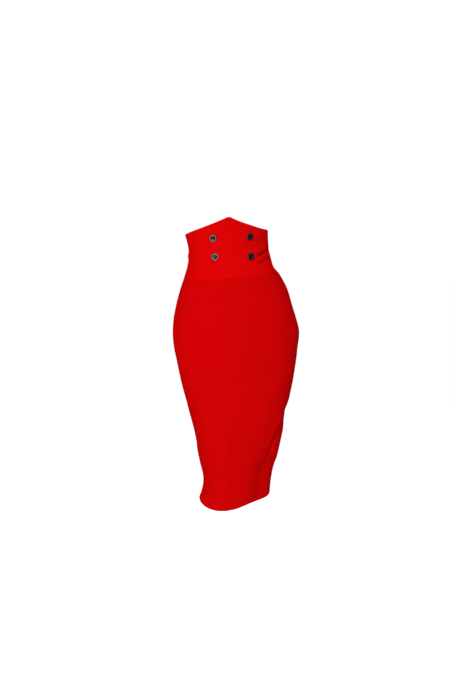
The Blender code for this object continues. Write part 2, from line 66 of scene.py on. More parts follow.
Section = namedtuple("Section", "level min_x max_x front_y side_y back_y squareness")
SECTIONS = (
    Section(0.100, -0.1320, 0.1120, -0.0985, -0.002, 0.0950, 0.04),
    Section(0.050, -0.1255, 0.1115, -0.0940, -0.002, 0.0910, 0.04),
    Section(0.020, -0.1175, 0.1130, -0.0910, -0.001, 0.0870, 0.04),
    Section(0.000, -0.1140, 0.1155, -0.0900, 0.000, 0.0850, 0.04),
    Section(-0.030, -0.1145, 0.1225, -0.0920, 0.000, 0.0880, 0.04),
    Section(-0.050, -0.1180, 0.1300, -0.0945, 0.001, 0.0920, 0.05),
    Section(-0.062, -0.1215, 0.1412, -0.0960, 0.001, 0.0950, 0.05),
    Section(-0.080, -0.1270, 0.1530, -0.0980, 0.002, 0.1000, 0.06),
    Section(-0.110, -0.1368, 0.1685, -0.1000, 0.003, 0.1070, 0.06),
    Section(-0.150, -0.1475, 0.1810, -0.1010, 0.004, 0.1130, 0.06),
    Section(-0.190, -0.1553, 0.1935, -0.1020, 0.004, 0.1170, 0.06),
    Section(-0.230, -0.1588, 0.2030, -0.1020, 0.003, 0.1180, 0.06),
    Section(-0.270, -0.1568, 0.2000, -0.1020, 0.002, 0.1150, 0.07),
    Section(-0.315, -0.1475, 0.1940, -0.1020, 0.000, 0.1080, 0.10),
    Section(-0.380, -0.1335, 0.1830, -0.1010, -0.001, 0.0990, 0.14),
    Section(-0.450, -0.1150, 0.1660, -0.1000, -0.003, 0.0920, 0.15),
    Section(-0.520, -0.0970, 0.1480, -0.0980, -0.005, 0.0880, 0.14),
    Section(-0.590, -0.0845, 0.1328, -0.0950, -0.007, 0.0860, 0.11),
    Section(-0.650, -0.0733, 0.1203, -0.0920, -0.009, 0.0860, 0.08),
    Section(-0.680, -0.0760, 0.1174, -0.0915, -0.010, 0.0865, 0.08),
    Section(-0.710, -0.0865, 0.1150, -0.0920, -0.010, 0.0875, 0.07),
    Section(-0.750, -0.0940, 0.1134, -0.0930, -0.010, 0.0885, 0.07),
)

# The largest folds, in millimetres.  height is out of the cloth where positive, into it where
# negative, and the path is a run of (angle, level) points.
MM = 0.001
Fold = namedtuple("Fold", "height half_width path")
FOLDS = (
    # pinched waist on the wearer's left: a sharp valley, the roll below it, a softer valley
    Fold(-7.2, 6.2, (
        (29, -22.2), (37, -17.2), (44, -12.6), (54, -6.6), (66, -2.5), (78, -0.2), (90, 1.2),
    )),
    Fold(2.8, 6.6, ((30, -30), (38, -24.8), (50, -18.2), (60, -13.8), (74, -10.8))),
    Fold(-2.6, 6.6, (
        (22, -37.2), (29, -38.5), (36, -38.5), (42, -35.4), (48, -31.2), (58, -26.8), (70, -23.8),
        (82, -23),
    )),
    Fold(-2.2, 9, ((38, 13), (48, 20.3), (58, 26), (68, 29))),
    # the same pinch, lighter, on the wearer's right
    Fold(-2.8, 7, ((-46, -15), (-58, -10.5), (-72, -6), (-86, -3.5), (-100, -3))),
    Fold(1.8, 7.6, ((-50, -29), (-70, -22), (-90, -17), (-112, -16.5))),
    # hollow of the back above the seat
    Fold(-3.4, 7.6, ((144, -24), (158, -29), (174, -32), (190, -31.5), (206, -27), (218, -21.5))),
    Fold(2, 8, ((148, -43), (162, -48), (178, -50.5), (194, -49), (212, -43))),
    # long crease that runs from behind the wearer's left leg down its front
    Fold(-10.5, 10.5, (
        (132, -402), (116, -412), (102, -423), (91, -434), (80, -446), (71, -462), (65, -484),
        (58, -512), (52, -535), (48, -562), (47, -596),
    )),
    # flat drop of the cloth beside the knees
    Fold(-11.5, 31, ((45, -540), (41, -600), (37, -660), (35, -720), (35, -800))),
    # rolls on both sides of the long crease
    Fold(4, 12, ((93, -474), (84, -500), (76, -534), (71, -580), (70, -632))),
    Fold(2, 11, ((66, -440), (55, -468), (46, -502), (40, -534), (38, -562))),
    # roll over the right leg
    Fold(5, 26, ((-16, -420), (-20, -500), (-23, -585), (-25, -645), (-25, -700), (-25, -790))),
    # the crease's fainter mirror, behind the right leg
    Fold(-3.6, 14, ((-112, -500), (-122, -545), (-127, -600), (-128, -655))),
    Fold(2.2, 15, ((-102, -540), (-106, -590), (-108, -640))),
    # soft drags under the seat
    Fold(-2.8, 15, ((122, -316), (138, -334), (160, -345))),
    Fold(-2.4, 15, ((238, -328), (222, -346), (202, -352))),
)
FADE = 0.30  # share of a fold's length over which each end dies away
FOLD_REACH = 3  # half widths from its path at which a fold leaves the cloth alone

# The edges, by angle: a V-shaped top with a blunt point, and a hem that dips in front.
Edge = namedtuple("Edge", "angle level")
TOP_EDGE = (
    Edge(-180, 0.0455), Edge(-130, 0.0437), Edge(-90, 0.0438), Edge(-68, 0.0497),
    Edge(-44, 0.0606), Edge(-27, 0.0717), Edge(-13, 0.0829), Edge(-5, 0.0904),
    Edge(-1, 0.0926), Edge(3, 0.0892), Edge(10, 0.0826), Edge(26, 0.0719),
    Edge(49, 0.0611), Edge(72, 0.0572), Edge(90, 0.0560), Edge(130, 0.0522),
    Edge(180, 0.0455),
)
HEM = (
    Edge(-180, -0.6990), Edge(-145, -0.7040), Edge(-115, -0.7055), Edge(-92, -0.7065),
    Edge(-76, -0.7142), Edge(-60, -0.7220), Edge(-44, -0.7289), Edge(-24, -0.7323),
    Edge(-5, -0.7277), Edge(18, -0.7138), Edge(39, -0.7080), Edge(58, -0.7012),
    Edge(78, -0.6920), Edge(95, -0.6830), Edge(120, -0.6815), Edge(150, -0.6885),
    Edge(180, -0.6990),
)
# Seam between the band and the skirt: lowest at the wearer's right side.
SEAM_FRONT = -0.0763
SEAM_SIDES = -0.0740
SEAM_BACK = -0.0775
SEAM_RISE = 0.0140

# Centre back: the seam edges part round the zip slider and open into a walking slit.
PARTING_DEPTH = 0.014
PARTING_HALF_WIDTH = 0.0013
SLIT_LENGTH = 0.165
SLIT_HALF_WIDTH = 0.0060
SLIT_FLARE = 1.5  # power with which the slit widens towards the hem
BACK_SIDES = (("left", -1), ("right", 1))  # of the centre back, and the way the angle runs there

BUTTON_RADIUS = 0.0104
BUTTON_HOLE_RADIUS = 0.00095
BUTTON_HOLE_RING = 0.0021
Button = namedtuple("Button", "name angle level")
BUTTONS = (
    Button("button_upper_right", -24.6, 0.0338),
    Button("button_lower_right", -25.8, -0.0186),
    Button("button_upper_left", 26.4, 0.0377),
    Button("button_lower_left", 23.6, -0.0178),
)

ZIP_TAPE_WIDTH = 0.0125
ZIP_TAPE_COLUMNS = (0.0, 0.0002, 0.0030, 0.0062, 0.0094, ZIP_TAPE_WIDTH - 0.0002, ZIP_TAPE_WIDTH)
ZIP_TAPE_THICKNESS = 0.0008
ZIP_TOP_CLEARANCE = 0.0030
ZIP_END_LEVEL = -0.195
ZIP_STEP_RUN = 0.020  # below the band seam, where the tape comes out to the thinner wall
SLIDER_BELOW_TOP = 0.0052
SLIDER_BODY_LENGTH = 0.0072

# ---------------------------------------------------------------- finer form, for the eye only

# Creases that lie in and beside the large folds, and lighter ones elsewhere.
CREASES = (
    # wearer's left of the waist: beds and lips of the pinched folds
    Fold(-4.6, 2.4, ((33, -20), (40, -15.3), (47, -10.6), (55, -6.1), (66, -2.4), (77, -0.2))),
    Fold(-1.4, 4, ((34, -18.8), (44, -12.4), (56, -5.5), (76, 0))),
    Fold(1.3, 3.4, ((38, -10), (46, -4.8), (57, 1), (72, 5.4))),
    Fold(1.5, 3.4, ((33, -27.2), (40, -23.6), (50, -17.8), (62, -12.8), (71, -10.6))),
    Fold(-1.5, 2.8, ((26, -38), (36, -38.5), (43, -34.8), (51, -29.8), (63, -25.4))),
    Fold(0.8, 4, ((28, -44.5), (38, -44), (48, -38.8), (60, -33.2), (72, -30))),
    Fold(-0.7, 3.4, ((39, 14), (47, 19.8), (58, 26))),
    Fold(-0.6, 4, ((100, -46), (112, -42), (126, -41))),
    Fold(-1, 3.6, ((98, 5.2), (110, 6.2), (128, 4.2))),
    # wearer's right of the waist
    Fold(-1.6, 2.6, ((-46, -14.6), (-56, -11), (-66, -7.8), (-78, -4.8))),
    Fold(0.8, 3.6, ((-50, -21.8), (-62, -18.2), (-76, -14.2))),
    Fold(-0.9, 3.4, ((-40, -36.5), (-54, -33.5), (-68, -31), (-78, -30.8))),
    Fold(-0.5, 4.4, ((-56, 13), (-68, 17.5), (-78, 19))),
    Fold(-1, 3.4, ((-104, -4), (-118, -3), (-132, -6))),
    # hollow of the back
    Fold(-1.2, 3.4, ((150, -26.2), (162, -30), (176, -32.2))),
    Fold(-1, 3.4, ((186, -31.8), (198, -29), (211, -24.6))),
    Fold(-0.9, 3.6, ((146, 1), (160, -5), (175, -7))),
    Fold(-0.7, 3.6, ((187, -9), (202, -5), (216, 1))),
    Fold(0.7, 4.2, ((152, -15), (166, -19), (178, -20), (194, -18))),
    # front of the hips: faint drags from the side seams towards the middle
    Fold(-1, 9, ((-84, -118), (-66, -138), (-46, -148))),
    Fold(-0.9, 8, ((82, -112), (66, -128), (50, -136))),
    Fold(0.8, 10, ((-80, -140), (-60, -158), (-40, -166))),
    Fold(-0.8, 12, ((-86, -272), (-64, -300), (-40, -318), (-20, -322))),
    Fold(-0.9, 13, ((86, -262), (68, -292), (48, -312))),
    # over the legs
    Fold(1.2, 17, ((-26, -330), (-22, -420), (-16, -500))),
    Fold(-1.3, 15, ((2, -395), (4, -470), (2, -560), (-4, -640))),
    Fold(1, 16, ((24, -350), (27, -440), (25, -520))),
    Fold(-0.9, 8, ((-72, -452), (-52, -470), (-30, -474))),
    Fold(-0.8, 7, ((-80, -560), (-60, -584), (-38, -596))),
    Fold(-0.8, 7.5, ((28, -628), (14, -646), (-4, -652))),
    # the long crease of the left leg: its deep bed, the wide hollow round it, the drag that
    # ends it, a lip on each side and a short one where it starts
    Fold(-13.5, 8.2, (
        (128, -403), (112, -415), (97, -428), (86, -441), (76, -459), (68, -480), (60.5, -507),
        (53.5, -531), (49, -558), (47, -580),
    )),
    Fold(-3, 9, (
        (128, -408), (112, -420), (98, -436), (88, -450), (81, -466), (76, -486), (72, -512),
        (69, -545),
    )),
    Fold(-1.8, 5, ((57, -518), (50, -550), (47, -588), (48, -622))),
    Fold(1.3, 4.6, ((60, -454), (52, -480), (46, -511), (42, -538))),
    Fold(1.6, 6.6, ((91, -474), (83, -500), (76, -532), (71, -570), (70, -614))),
    Fold(-1, 6, ((112, -392), (102, -412), (98, -440))),
    # the right leg's side
    Fold(-1.2, 6.2, ((-106, -430), (-116, -470), (-122, -520))),
    Fold(-0.9, 6, ((-104, -610), (-112, -640), (-118, -672))),
    # back: under the seat and beside the slit
    Fold(-1.2, 7, ((126, -318), (142, -333), (156, -342))),
    Fold(-1.1, 7, ((234, -330), (220, -345), (206, -350))),
    Fold(1, 10, ((130, -352), (148, -366), (168, -372))),
    Fold(-1.2, 11, ((150, -420), (156, -480), (160, -540))),
    Fold(-1, 12, ((214, -405), (208, -470), (203, -535))),
    Fold(-0.8, 8, ((128, -560), (142, -584), (156, -592))),
    Fold(-0.9, 8, ((236, -566), (220, -588), (206, -598))),
)

# Slow unevenness of cloth that isn't stretched tight: height, waves a metre round and up, start.
Wave = namedtuple("Wave", "height around up start")
WAVES = (
    Wave(0.00022, 7.1, 4.3, 0.4),
    Wave(0.00016, -5.3, 9.7, 2.1),
    Wave(0.00012, 11.9, -6.1, 4.0),
    Wave(0.00008, -15.7, 17.3, 1.2),
)

LOOSE_BELOW = 0.09  # below the band, over which the unevenness grows to its whole height

# Ripples where a seam draws the cloth in: height, length of one, how far they reach.
PUCKER_HEIGHT = 0.00020
PUCKER_LENGTH = 0.0135
PUCKER_REACH = 0.0055
PUCKER_BEATS = (61.0, 23.0)  # radians a metre at which the ripples come and go
PUCKER_SHIFT = 1.7  # radians, and how fast along the seam they move out of step
PUCKER_SHIFT_RATE = 37.0
SEAM_DIP = 0.00016
SEAM_DIP_REACH = 0.0032
UPRIGHT_SEAMS = ((90, 0.0), (-90, 0.4), (180, 0.9))  # angle, and a shift that varies the ripples
BAND_SEAM_PULL = 0.00045  # further in, on the wearer's left
BAND_SEAM_PULL_REACH = 0.0048
BAND_SEAM_PULL_ANGLE = 56  # its middle, and how fast it dies away from there
BAND_SEAM_PULL_SPREAD = 44
BAND_SEAM_PULL_FULL = 1.25
BUTTON_CALM = (0.012, 0.030)  # from here to here, a button's calm cloth eases into the rest
LIP = 0.0002  # radius of a panel's outer edge, where it meets its neighbour at a seam

FRONT_COLUMNS = 150
BACK_COLUMNS = 75
SKIRT_ROWS = 205
BAND_ROWS = 100
BAND_BACK_ROWS = 76
BAND_DENSE = (0.45, 0.16, 1.8)  # share of the height, reach, and how much closer the rows lie
ROLL = (0.0, 0.12, 0.42, 1.0)  # shares of half the wall at which a rolled edge has a row
HEM_LINE = 0.0135  # stitching above the hem's edge
HEM_STITCHES = 0.0166  # blind stitches, inside
HEM_GROOVE = 0.00070
HEM_GROOVE_REACH = 0.0018
HEM_ROWS = (
    0.0030, 0.0060, 0.0088, 0.0110, 0.0121, 0.0128, 0.0135, 0.0142, 0.0149, 0.0162, 0.0180,
    0.0187, 0.0196, 0.0220,
)

ALLOWANCE = 0.0110  # seam allowance, pressed open inside
ALLOWANCE_THICKNESS = 0.0009
ALLOWANCE_OFF = 0.00025  # behind the wall
ALLOWANCE_GROOVE = 0.0004  # depth and half width of the seam down its middle
ALLOWANCE_CLEAR = 0.0016  # from the garment's edges
ALLOWANCE_APART = 0.0008  # from one that crosses it, or from the zip
ALLOWANCE_STEP = 0.003  # between its rows
WALL_CHANGE = 0.004  # height over which it passes from the skirt's wall to the band's
SLIT_TURNING = 0.0200
SLIT_TURNING_COLUMNS = (0.0, 0.0008, 0.005, 0.010, 0.015, SLIT_TURNING - 0.0006, SLIT_TURNING)

STITCH_LENGTH = 0.0026
STITCH_PITCH = 0.0032
STITCH_SIDES = 6
THREAD_RADIUS = 0.00020
StitchRing = namedtuple("StitchRing", "share height size")
STITCH_RINGS = (
    StitchRing(-0.50, -0.00030, 0.55),
    StitchRing(-0.42, 0.00002, 0.9),
    StitchRing(-0.2, 0.00013, 1.0),
    StitchRing(0.2, 0.00013, 1.0),
    StitchRing(0.42, 0.00002, 0.9),
    StitchRing(0.50, -0.00030, 0.55),
)
ZIP_STITCH_OFF = 0.0065
ZIP_END_STITCHES = 0.0055  # below the tapes' end
SLIT_STITCH_OFF = 0.0080
SLIT_BARS = 5  # rows of short stitches that hold the top of the slit
SLIT_BAR_HALF = 0.0055
SLIT_BAR_PITCH = 0.0005

COIL_PITCH = 0.00135
COIL_REACH = 0.00105
COIL_DEPTH = 0.00045
COIL_WIRE = 0.00028
COIL_OFF_EDGE = 0.72  # share of its reach from the tape's edge to its middle
COIL_CLEAR = 0.0001  # behind the tape
COIL_STEPS = 10
COIL_SIDES = 5
STOP_SIZE = (0.0046, 0.0016, 0.0026)

CAMERA_DISTANCE = 4.5
CAMERA_AZIMUTH = math.radians(-8)
CAMERA_HEIGHT = 0.04
METRES_A_PIXEL = 0.00284
WAIST_ABOVE_MIDDLE = 95.0  # pixels
WAIST_RIGHT_OF_MIDDLE = 0.55
PICTURE_HEIGHT = 690
SENSOR = 36.0
FLOOR_LEVEL = -1.248
ROOM_LIGHT = 0.23
WHITE_SEEN = 1.02  # the plain white behind and below, as the camera sees it
FLOOR_GLOW = 0.82
FLOOR_REACH = 40.0


# ---------------------------------------------------------------- the form

def eased(share):
    """From 0 to 1 with soft ends."""
    t = np.clip(share, 0.0, 1.0)
    return t * t * (3 - 2 * t)


def bell(distance, reach):
    return np.exp(-((distance / reach) ** 2))


def read_smoothly(rows, key, places, column):
    """A column of a table, read smoothly between its rows at places in its key column."""
    keys = np.array([getattr(row, key) for row in rows], float)
    values = np.array([getattr(row, column) for row in rows], float)
    if keys[-1] < keys[0]:
        keys, values = keys[::-1], values[::-1]
    after = np.minimum(np.arange(len(keys)) + 1, len(keys) - 1)
    before = np.maximum(np.arange(len(keys)) - 1, 0)
    slopes = (values[after] - values[before]) / (keys[after] - keys[before])
    low = np.clip(np.searchsorted(keys, places, side="right") - 1, 0, len(keys) - 2)
    span = keys[low + 1] - keys[low]
    t = np.clip((places - keys[low]) / span, 0.0, 1.0)
    return (
        values[low] * (1 + 2 * t) * (1 - t) ** 2
        + values[low + 1] * t * t * (3 - 2 * t)
        + span * slopes[low] * t * (1 - t) ** 2
        - span * slopes[low + 1] * t * t * (1 - t)
    )


def bare_point(angle, level):
    """Points of the form without its folds, along the last axis."""
    s = Section(level, *(read_smoothly(SECTIONS, "level", level, c) for c in Section._fields[1:]))
    across, along = np.sin(np.radians(angle)), np.cos(np.radians(angle))
    depth = np.where(along > 0, s.side_y - s.front_y, s.back_y - s.side_y)
    return np.stack((
        (s.min_x + s.max_x) / 2 + (s.max_x - s.min_x) / 2 * across * (1 + s.squareness * along**2),
        s.side_y - depth * along * (1 + s.squareness * across**2),
        level + 0.0 * angle,
    ), axis=-1)


def unit(vectors):
    return vectors / np.linalg.norm(vectors, axis=-1, keepdims=True)


def sideways(angle, level):
    return bare_point(angle + ANGLE_REACH, level) - bare_point(angle - ANGLE_REACH, level)


def round_step(angle, level):
    """How far the cloth runs for one degree."""
    return np.linalg.norm(sideways(angle, level), axis=-1) / (2 * ANGLE_REACH)


def outward(angle, level):
    upwards = bare_point(angle, level + LEVEL_REACH) - bare_point(angle, level - LEVEL_REACH)
    return unit(np.cross(sideways(angle, level), upwards))


def turned(angle):
    """The same angle, from -180 to 180."""
    return (angle + 180) % 360 - 180


def relief(folds, angle, level):
    """How far these folds lift the cloth off the form, or sink it."""
    metres = round_step(angle, level)
    total = np.zeros(np.broadcast(angle, level).shape)
    for fold in folds:
        middle = (fold.path[0][0] + fold.path[-1][0]) / 2
        ahead = turned(middle - angle)
        flat = [((a - middle + ahead) * metres, MM * z - level) for a, z in fold.path]
        runs = [np.hypot(bx - ax, bz - az) for (ax, az), (bx, bz) in zip(flat, flat[1:])]
        whole = sum(runs)
        best = np.full(total.shape, np.inf)
        share = np.zeros(total.shape)
        passed = 0.0
        for (ax, az), (bx, bz), run in zip(flat, flat[1:], runs):
            t = np.clip(-(ax * (bx - ax) + az * (bz - az)) / (run * run), 0.0, 1.0)
            away = np.hypot(ax + t * (bx - ax), az + t * (bz - az))
            nearer = away < best
            best = np.where(nearer, away, best)
            share = np.where(nearer, (passed + t * run) / whole, share)
            passed = passed + run
        height, reach = MM * fold.height, MM * fold.half_width
        lift = height * bell(best, reach) * eased(np.minimum(share, 1 - share) / FADE)
        total += np.where(best < FOLD_REACH * reach, lift, 0.0)
    return total


def top_edge(angle):
    return read_smoothly(TOP_EDGE, "angle", turned(angle), "level")


def hem_edge(angle):
    return read_smoothly(HEM, "angle", turned(angle), "level")


def band_seam(angle):
    across, along = np.sin(np.radians(angle)), np.cos(np.radians(angle))
    middle = np.where(along > 0, SEAM_FRONT, SEAM_BACK)
    return SEAM_SIDES + (middle - SEAM_SIDES) * along**2 + SEAM_RISE * across


def slit_top():
    return hem_edge(180.0) + SLIT_LENGTH


def centre_back_inset(level):
    """Half of the gap at the centre back."""
    parting = PARTING_HALF_WIDTH * np.maximum(1 - (top_edge(180.0) - level) / PARTING_DEPTH, 0.0)
    slit = SLIT_HALF_WIDTH * np.maximum((slit_top() - level) / SLIT_LENGTH, 0.0) ** SLIT_FLARE
    return SEAM_GAP / 2 + parting + slit


def side_inset(level):
    return SEAM_GAP / 2 + 0.0 * level


def beside_back(away, level):
    """The angle of places that far from the centre back, towards the wearer's right."""
    return 180 + away / round_step(180.0, level)


# ---------------------------------------------------------------- the fine surface

def ripple(along):
    """Waves of one length along a seam, stronger and weaker by turns and never evenly spaced."""
    beat, slow_beat = PUCKER_BEATS
    strength = 0.6 + 0.4 * np.sin(along * beat + 1.3) * np.sin(along * slow_beat)
    shift = PUCKER_SHIFT * np.sin(along * PUCKER_SHIFT_RATE)
    return strength * np.sin(2 * math.pi * along / PUCKER_LENGTH + shift)


def fine_relief(angle, level):
    """The small creases, unevenness and seam ripples, on top of the large folds."""
    metres = round_step(angle, level)
    run = angle * metres
    total = relief(CREASES, angle, level)
    seam = band_seam(angle)
    loose = np.clip((seam - level) / LOOSE_BELOW, 0.0, 1.0)
    for wave in WAVES:
        turns = wave.around * run + wave.up * level
        total += loose * wave.height * np.sin(2 * math.pi * turns + wave.start)
    seams = [
        (np.abs(turned(angle - place)) * metres, level + shift) for place, shift in UPRIGHT_SEAMS
    ]
    for away, along in (*seams, (np.abs(level - seam), run)):
        total += PUCKER_HEIGHT * ripple(along) * np.exp(-away / PUCKER_REACH)
        total -= SEAM_DIP * bell(away, SEAM_DIP_REACH)
    off_middle = np.abs(turned(angle - BAND_SEAM_PULL_ANGLE)) / BAND_SEAM_PULL_SPREAD
    pulled = np.clip(BAND_SEAM_PULL_FULL - off_middle, 0.0, 1.0)
    total -= BAND_SEAM_PULL * pulled * bell(level - seam, BAND_SEAM_PULL_REACH)
    near, far = BUTTON_CALM
    for button in BUTTONS:
        away = np.hypot(turned(angle - button.angle) * metres, level - button.level)
        total = np.where(total > 0, total * eased((away - near) / (far - near)), total)
    return total


def cloth_point(angle, level, inward=0.0, fine=True):
    """Points of the cloth's outer face, or of a surface that far inside it.  Without the finer
    form they are the solid's."""
    angle, level = np.broadcast_arrays(np.asarray(angle, float), np.asarray(level, float))
    lift = relief(FOLDS, angle, level) + (fine_relief(angle, level) if fine else 0.0) - inward
    return bare_point(angle, level) + outward(angle, level) * lift[..., None]


def axes_at(angle, level):
    """Directions at a place on the form: to the side, up along the cloth and out of it."""
    out = Vector(outward(angle, level))
    right = Vector((0, 0, 1)).cross(out).normalized()
    return right, out.cross(right), out


def laid(place, axes):
    """The matrix that puts a small piece at a place, its own axes along these."""
    return Matrix.Translation(place) @ Matrix(axes).transposed().to_4x4()


# ---------------------------------------------------------------- meshes

def add_object(name, data):
    obj = bpy.data.objects.new(name, data)
    bpy.context.scene.collection.objects.link(obj)
    return obj


def new_piece(name, mesh, material):
    obj = add_object(name, mesh)
    mesh.materials.append(material)
    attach(obj, "skirt")
    return obj


def mesh_from(name, points, faces, cut=None):
    """A smooth mesh.  cut is each point's place in the flat cloth, in metres, kept as a UV map."""
    mesh = bpy.data.meshes.new(name)
    mesh.from_pydata(np.asarray(points, float).tolist(), [], faces)
    if cut is not None:
        corners = np.zeros(len(mesh.loops), np.int32)
        mesh.loops.foreach_get("vertex_index", corners)
        layer = mesh.uv_layers.new(name="cut")
        layer.data.foreach_set("uv", np.asarray(cut, np.float32)[corners].ravel())
    mesh.shade_smooth()
    mesh.update()
    return mesh


def shell(name, outer, inner, cut):
    """A closed thin shell between two grids of points whose borders meet."""
    columns, rows = outer.shape[:2]
    front = np.arange(columns * rows).reshape(columns, rows)
    inside = np.zeros((columns, rows), bool)
    inside[1:-1, 1:-1] = True
    back = front.copy()
    back[inside] = columns * rows + np.arange(inside.sum())
    points = np.concatenate((outer.reshape(-1, 3), inner[inside]))
    places = np.concatenate((cut.reshape(-1, 2), cut[inside]))
    faces = []
    for grid, way in ((front, 1), (back, -1)):
        quads = np.stack((grid[:-1, :-1], grid[1:, :-1], grid[1:, 1:], grid[:-1, 1:]), axis=-1)
        faces += quads.reshape(-1, 4)[:, ::way].tolist()
    return mesh_from(name, points, faces, places)


def tube_mesh(name, rings):
    """Closed tubes: an array of tubes, the rings along each, and the points round each ring."""
    count, length, sides = rings.shape[:3]
    index = np.arange(length * sides).reshape(length, sides)
    beside = np.roll(index, -1, axis=1)
    quads = np.stack((index[:-1], beside[:-1], beside[1:], index[1:]), axis=-1).reshape(-1, 4)
    caps = np.stack((index[0][::-1], index[-1]))
    starts = (np.arange(count) * length * sides)[:, None, None]
    faces = (quads + starts).reshape(-1, 4).tolist() + (caps + starts).reshape(-1, sides).tolist()
    return mesh_from(name, rings.reshape(-1, 3), faces)


def round_tubes(name, runs, radius, sides):
    """Tubes of one radius along runs of points, each run with the directions to its side."""
    turn = (np.arange(sides) * math.tau / sides)[:, None]
    rings = []
    for line, beside in runs:
        second = np.cross(unit(np.gradient(line, axis=0)), beside)[:, None]
        spoke = np.cos(turn) * beside[:, None] + np.sin(turn) * second
        rings.append(line[:, None] + radius * spoke)
    return tube_mesh(name, np.array(rings))


def rolled(distance, reach, deep):
    """How far a face turns in, near an edge that is rounded over a reach and a depth."""
    t = np.clip(distance / reach, 0.0, 1.0)
    return deep * (1 - np.sqrt(np.clip(1 - (1 - t) ** 2, 0.0, 1.0)))


def panel(
    name, start, end, insets, low_edge, high_edge, columns, rows, wall_at, low_rows=(), dense=None
):
    """One panel of cloth between two angles and two edges, with every edge rounded.

    insets say how far its sides stay from the two angles, and low_rows at what heights above its
    lower edge rows lie.  dense is where its rows lie closest together."""
    low_half, half = wall_at(np.array([0.0, 1.0])) / 2
    roll = np.array(ROLL) * half
    more = len(roll) - 1
    shares = np.concatenate((np.zeros(more), np.linspace(0, 1, columns + 1), np.ones(more)))
    from_start = np.concatenate((roll, np.full(columns + more, np.inf)))
    from_end = from_start[::-1]
    nominal = start + (end - start) * shares
    low, high = low_edge(nominal)[:, None], high_edge(nominal)[:, None]
    bottom = low + np.concatenate((np.array(ROLL) * low_half, low_rows))
    last, upper = bottom[:, -1:], high - roll[-1]
    between = last + (upper - last) * row_shares(rows, dense)[1:]
    level = np.concatenate((bottom, between, high - roll[-2::-1]), axis=1)
    from_low, from_high = level - low, high - level

    def side_angle(edge, inset, way, away, at):
        return edge + way * (inset(at) + away) / round_step(edge, at)

    sides = ((start, insets[0], 1), (end, insets[1], -1))
    first, final = (side_angle(*side, roll[-1], level) for side in sides)
    angle = first + (final - first) * shares[:, None]
    for side, away in zip(sides, (from_start, from_end)):
        near = np.isfinite(away)
        angle[near] = side_angle(*side, away[near, None], level[near])
    wall = wall_at(from_low)
    seamed, free = (from_high, from_low) if low_edge is hem_edge else (from_low, from_high)
    seamed = np.minimum(seamed, np.minimum(from_start, from_end)[:, None])
    rounded = rolled(free, wall / 2, wall / 2)
    turn = np.maximum(rolled(seamed, wall / 2, LIP), rounded)
    turn_back = np.maximum(rolled(seamed, wall / 2, wall - LIP), rounded)
    if len(low_rows):
        turn += HEM_GROOVE * bell(from_low - HEM_LINE, HEM_GROOVE_REACH)
    lift = relief(FOLDS, angle, level) + fine_relief(angle, level)
    base, out = bare_point(angle, level), outward(angle, level)
    outer = base + out * (lift - turn)[..., None]
    inner = base + out * (lift - np.maximum(wall - turn_back, turn))[..., None]
    steps = np.linalg.norm(np.diff(outer, axis=0), axis=-1)
    width = np.concatenate((np.zeros((1, level.shape[1])), np.cumsum(steps, axis=0)))
    width -= width[len(width) // 2]
    return shell(name, outer, inner, np.stack((width, level), axis=-1))


def row_shares(rows, dense):
    """Shares of a height for its rows, even or closer together round one place."""
    even = np.linspace(0, 1, rows + 1)
    if dense is None:
        return even
    place, reach, much = dense
    fine = np.linspace(0, 1, 2001)
    grown = np.cumsum(1 + much * bell(fine - place, reach))
    return np.interp(even, (grown - grown[0]) / (grown[-1] - grown[0]), fine)


def skirt_wall(from_low):
    return HEM_WALL + (SKIRT_WALL - HEM_WALL) * eased((from_low - HEM_DEPTH) / HEM_STEP)


def band_wall(from_low):
    return BAND_WALL + 0.0 * from_low


def wall_behind(angle, level):
    """The wall's thickness at a place on the skirt or the band."""
    skirt = skirt_wall(level - hem_edge(angle))
    rise = np.clip((level - band_seam(angle)) / WALL_CHANGE + 0.5, 0.0, 1.0)
    return skirt + (BAND_WALL - skirt) * rise


def layer(name, angles, levels, depth, thickness, cut, sunk=0.0):
    """A closed layer of cloth that deep inside the outer face, over a grid of places."""
    turn = np.full(angles.shape, thickness / 2)
    turn[1:-1, 1:-1] = 0.0
    outer = cloth_point(angles, levels, depth + turn)
    inner = cloth_point(angles, levels, depth + thickness - turn - sunk)
    facing = np.cross(outer[-1, 0] - outer[0, 0], outer[0, 1] - outer[0, 0])
    if facing @ outward(angles[0, 0], levels[0, 0]) < 0:
        outer, inner, cut = outer[::-1], inner[::-1], cut[::-1]
    return shell(name, outer, inner, cut)


def strip(name, centre, across, material, groove=0.0):
    """A flat strip of cloth that lies inside the wall.

    centre is the line that it follows, as arrays of angle and level, and across the offsets from
    it, in metres, as (sideways, upwards) pairs."""
    angle, level = resample(*centre, ALLOWANCE_STEP)
    across = np.array(across)
    angles = angle + across[:, :1] / round_step(angle, level)
    levels = level + across[:, 1:]
    away = np.linalg.norm(across, axis=1)[:, None]
    width = away * np.sign(across.sum(axis=1))[:, None]
    cut = np.stack(np.broadcast_arrays(width, np.arange(len(angle)) * ALLOWANCE_STEP), axis=-1)
    depth = wall_behind(angles, levels) + ALLOWANCE_OFF
    sunk = groove * (away < ALLOWANCE_GROOVE)
    mesh = layer(name, angles, levels, depth, ALLOWANCE_THICKNESS, cut, sunk)
    return new_piece(name, mesh, material)


def resample(angle, level, step):
    """The same line with even steps along the cloth."""
    points = bare_point(angle, level)
    run = np.concatenate(([0.0], np.cumsum(np.linalg.norm(np.diff(points, axis=0), axis=1))))
    count = max(int(round(run[-1] / step)), 2)
    at = np.linspace(0, run[-1], count + 1)
    return np.interp(at, run, angle), np.interp(at, run, level)


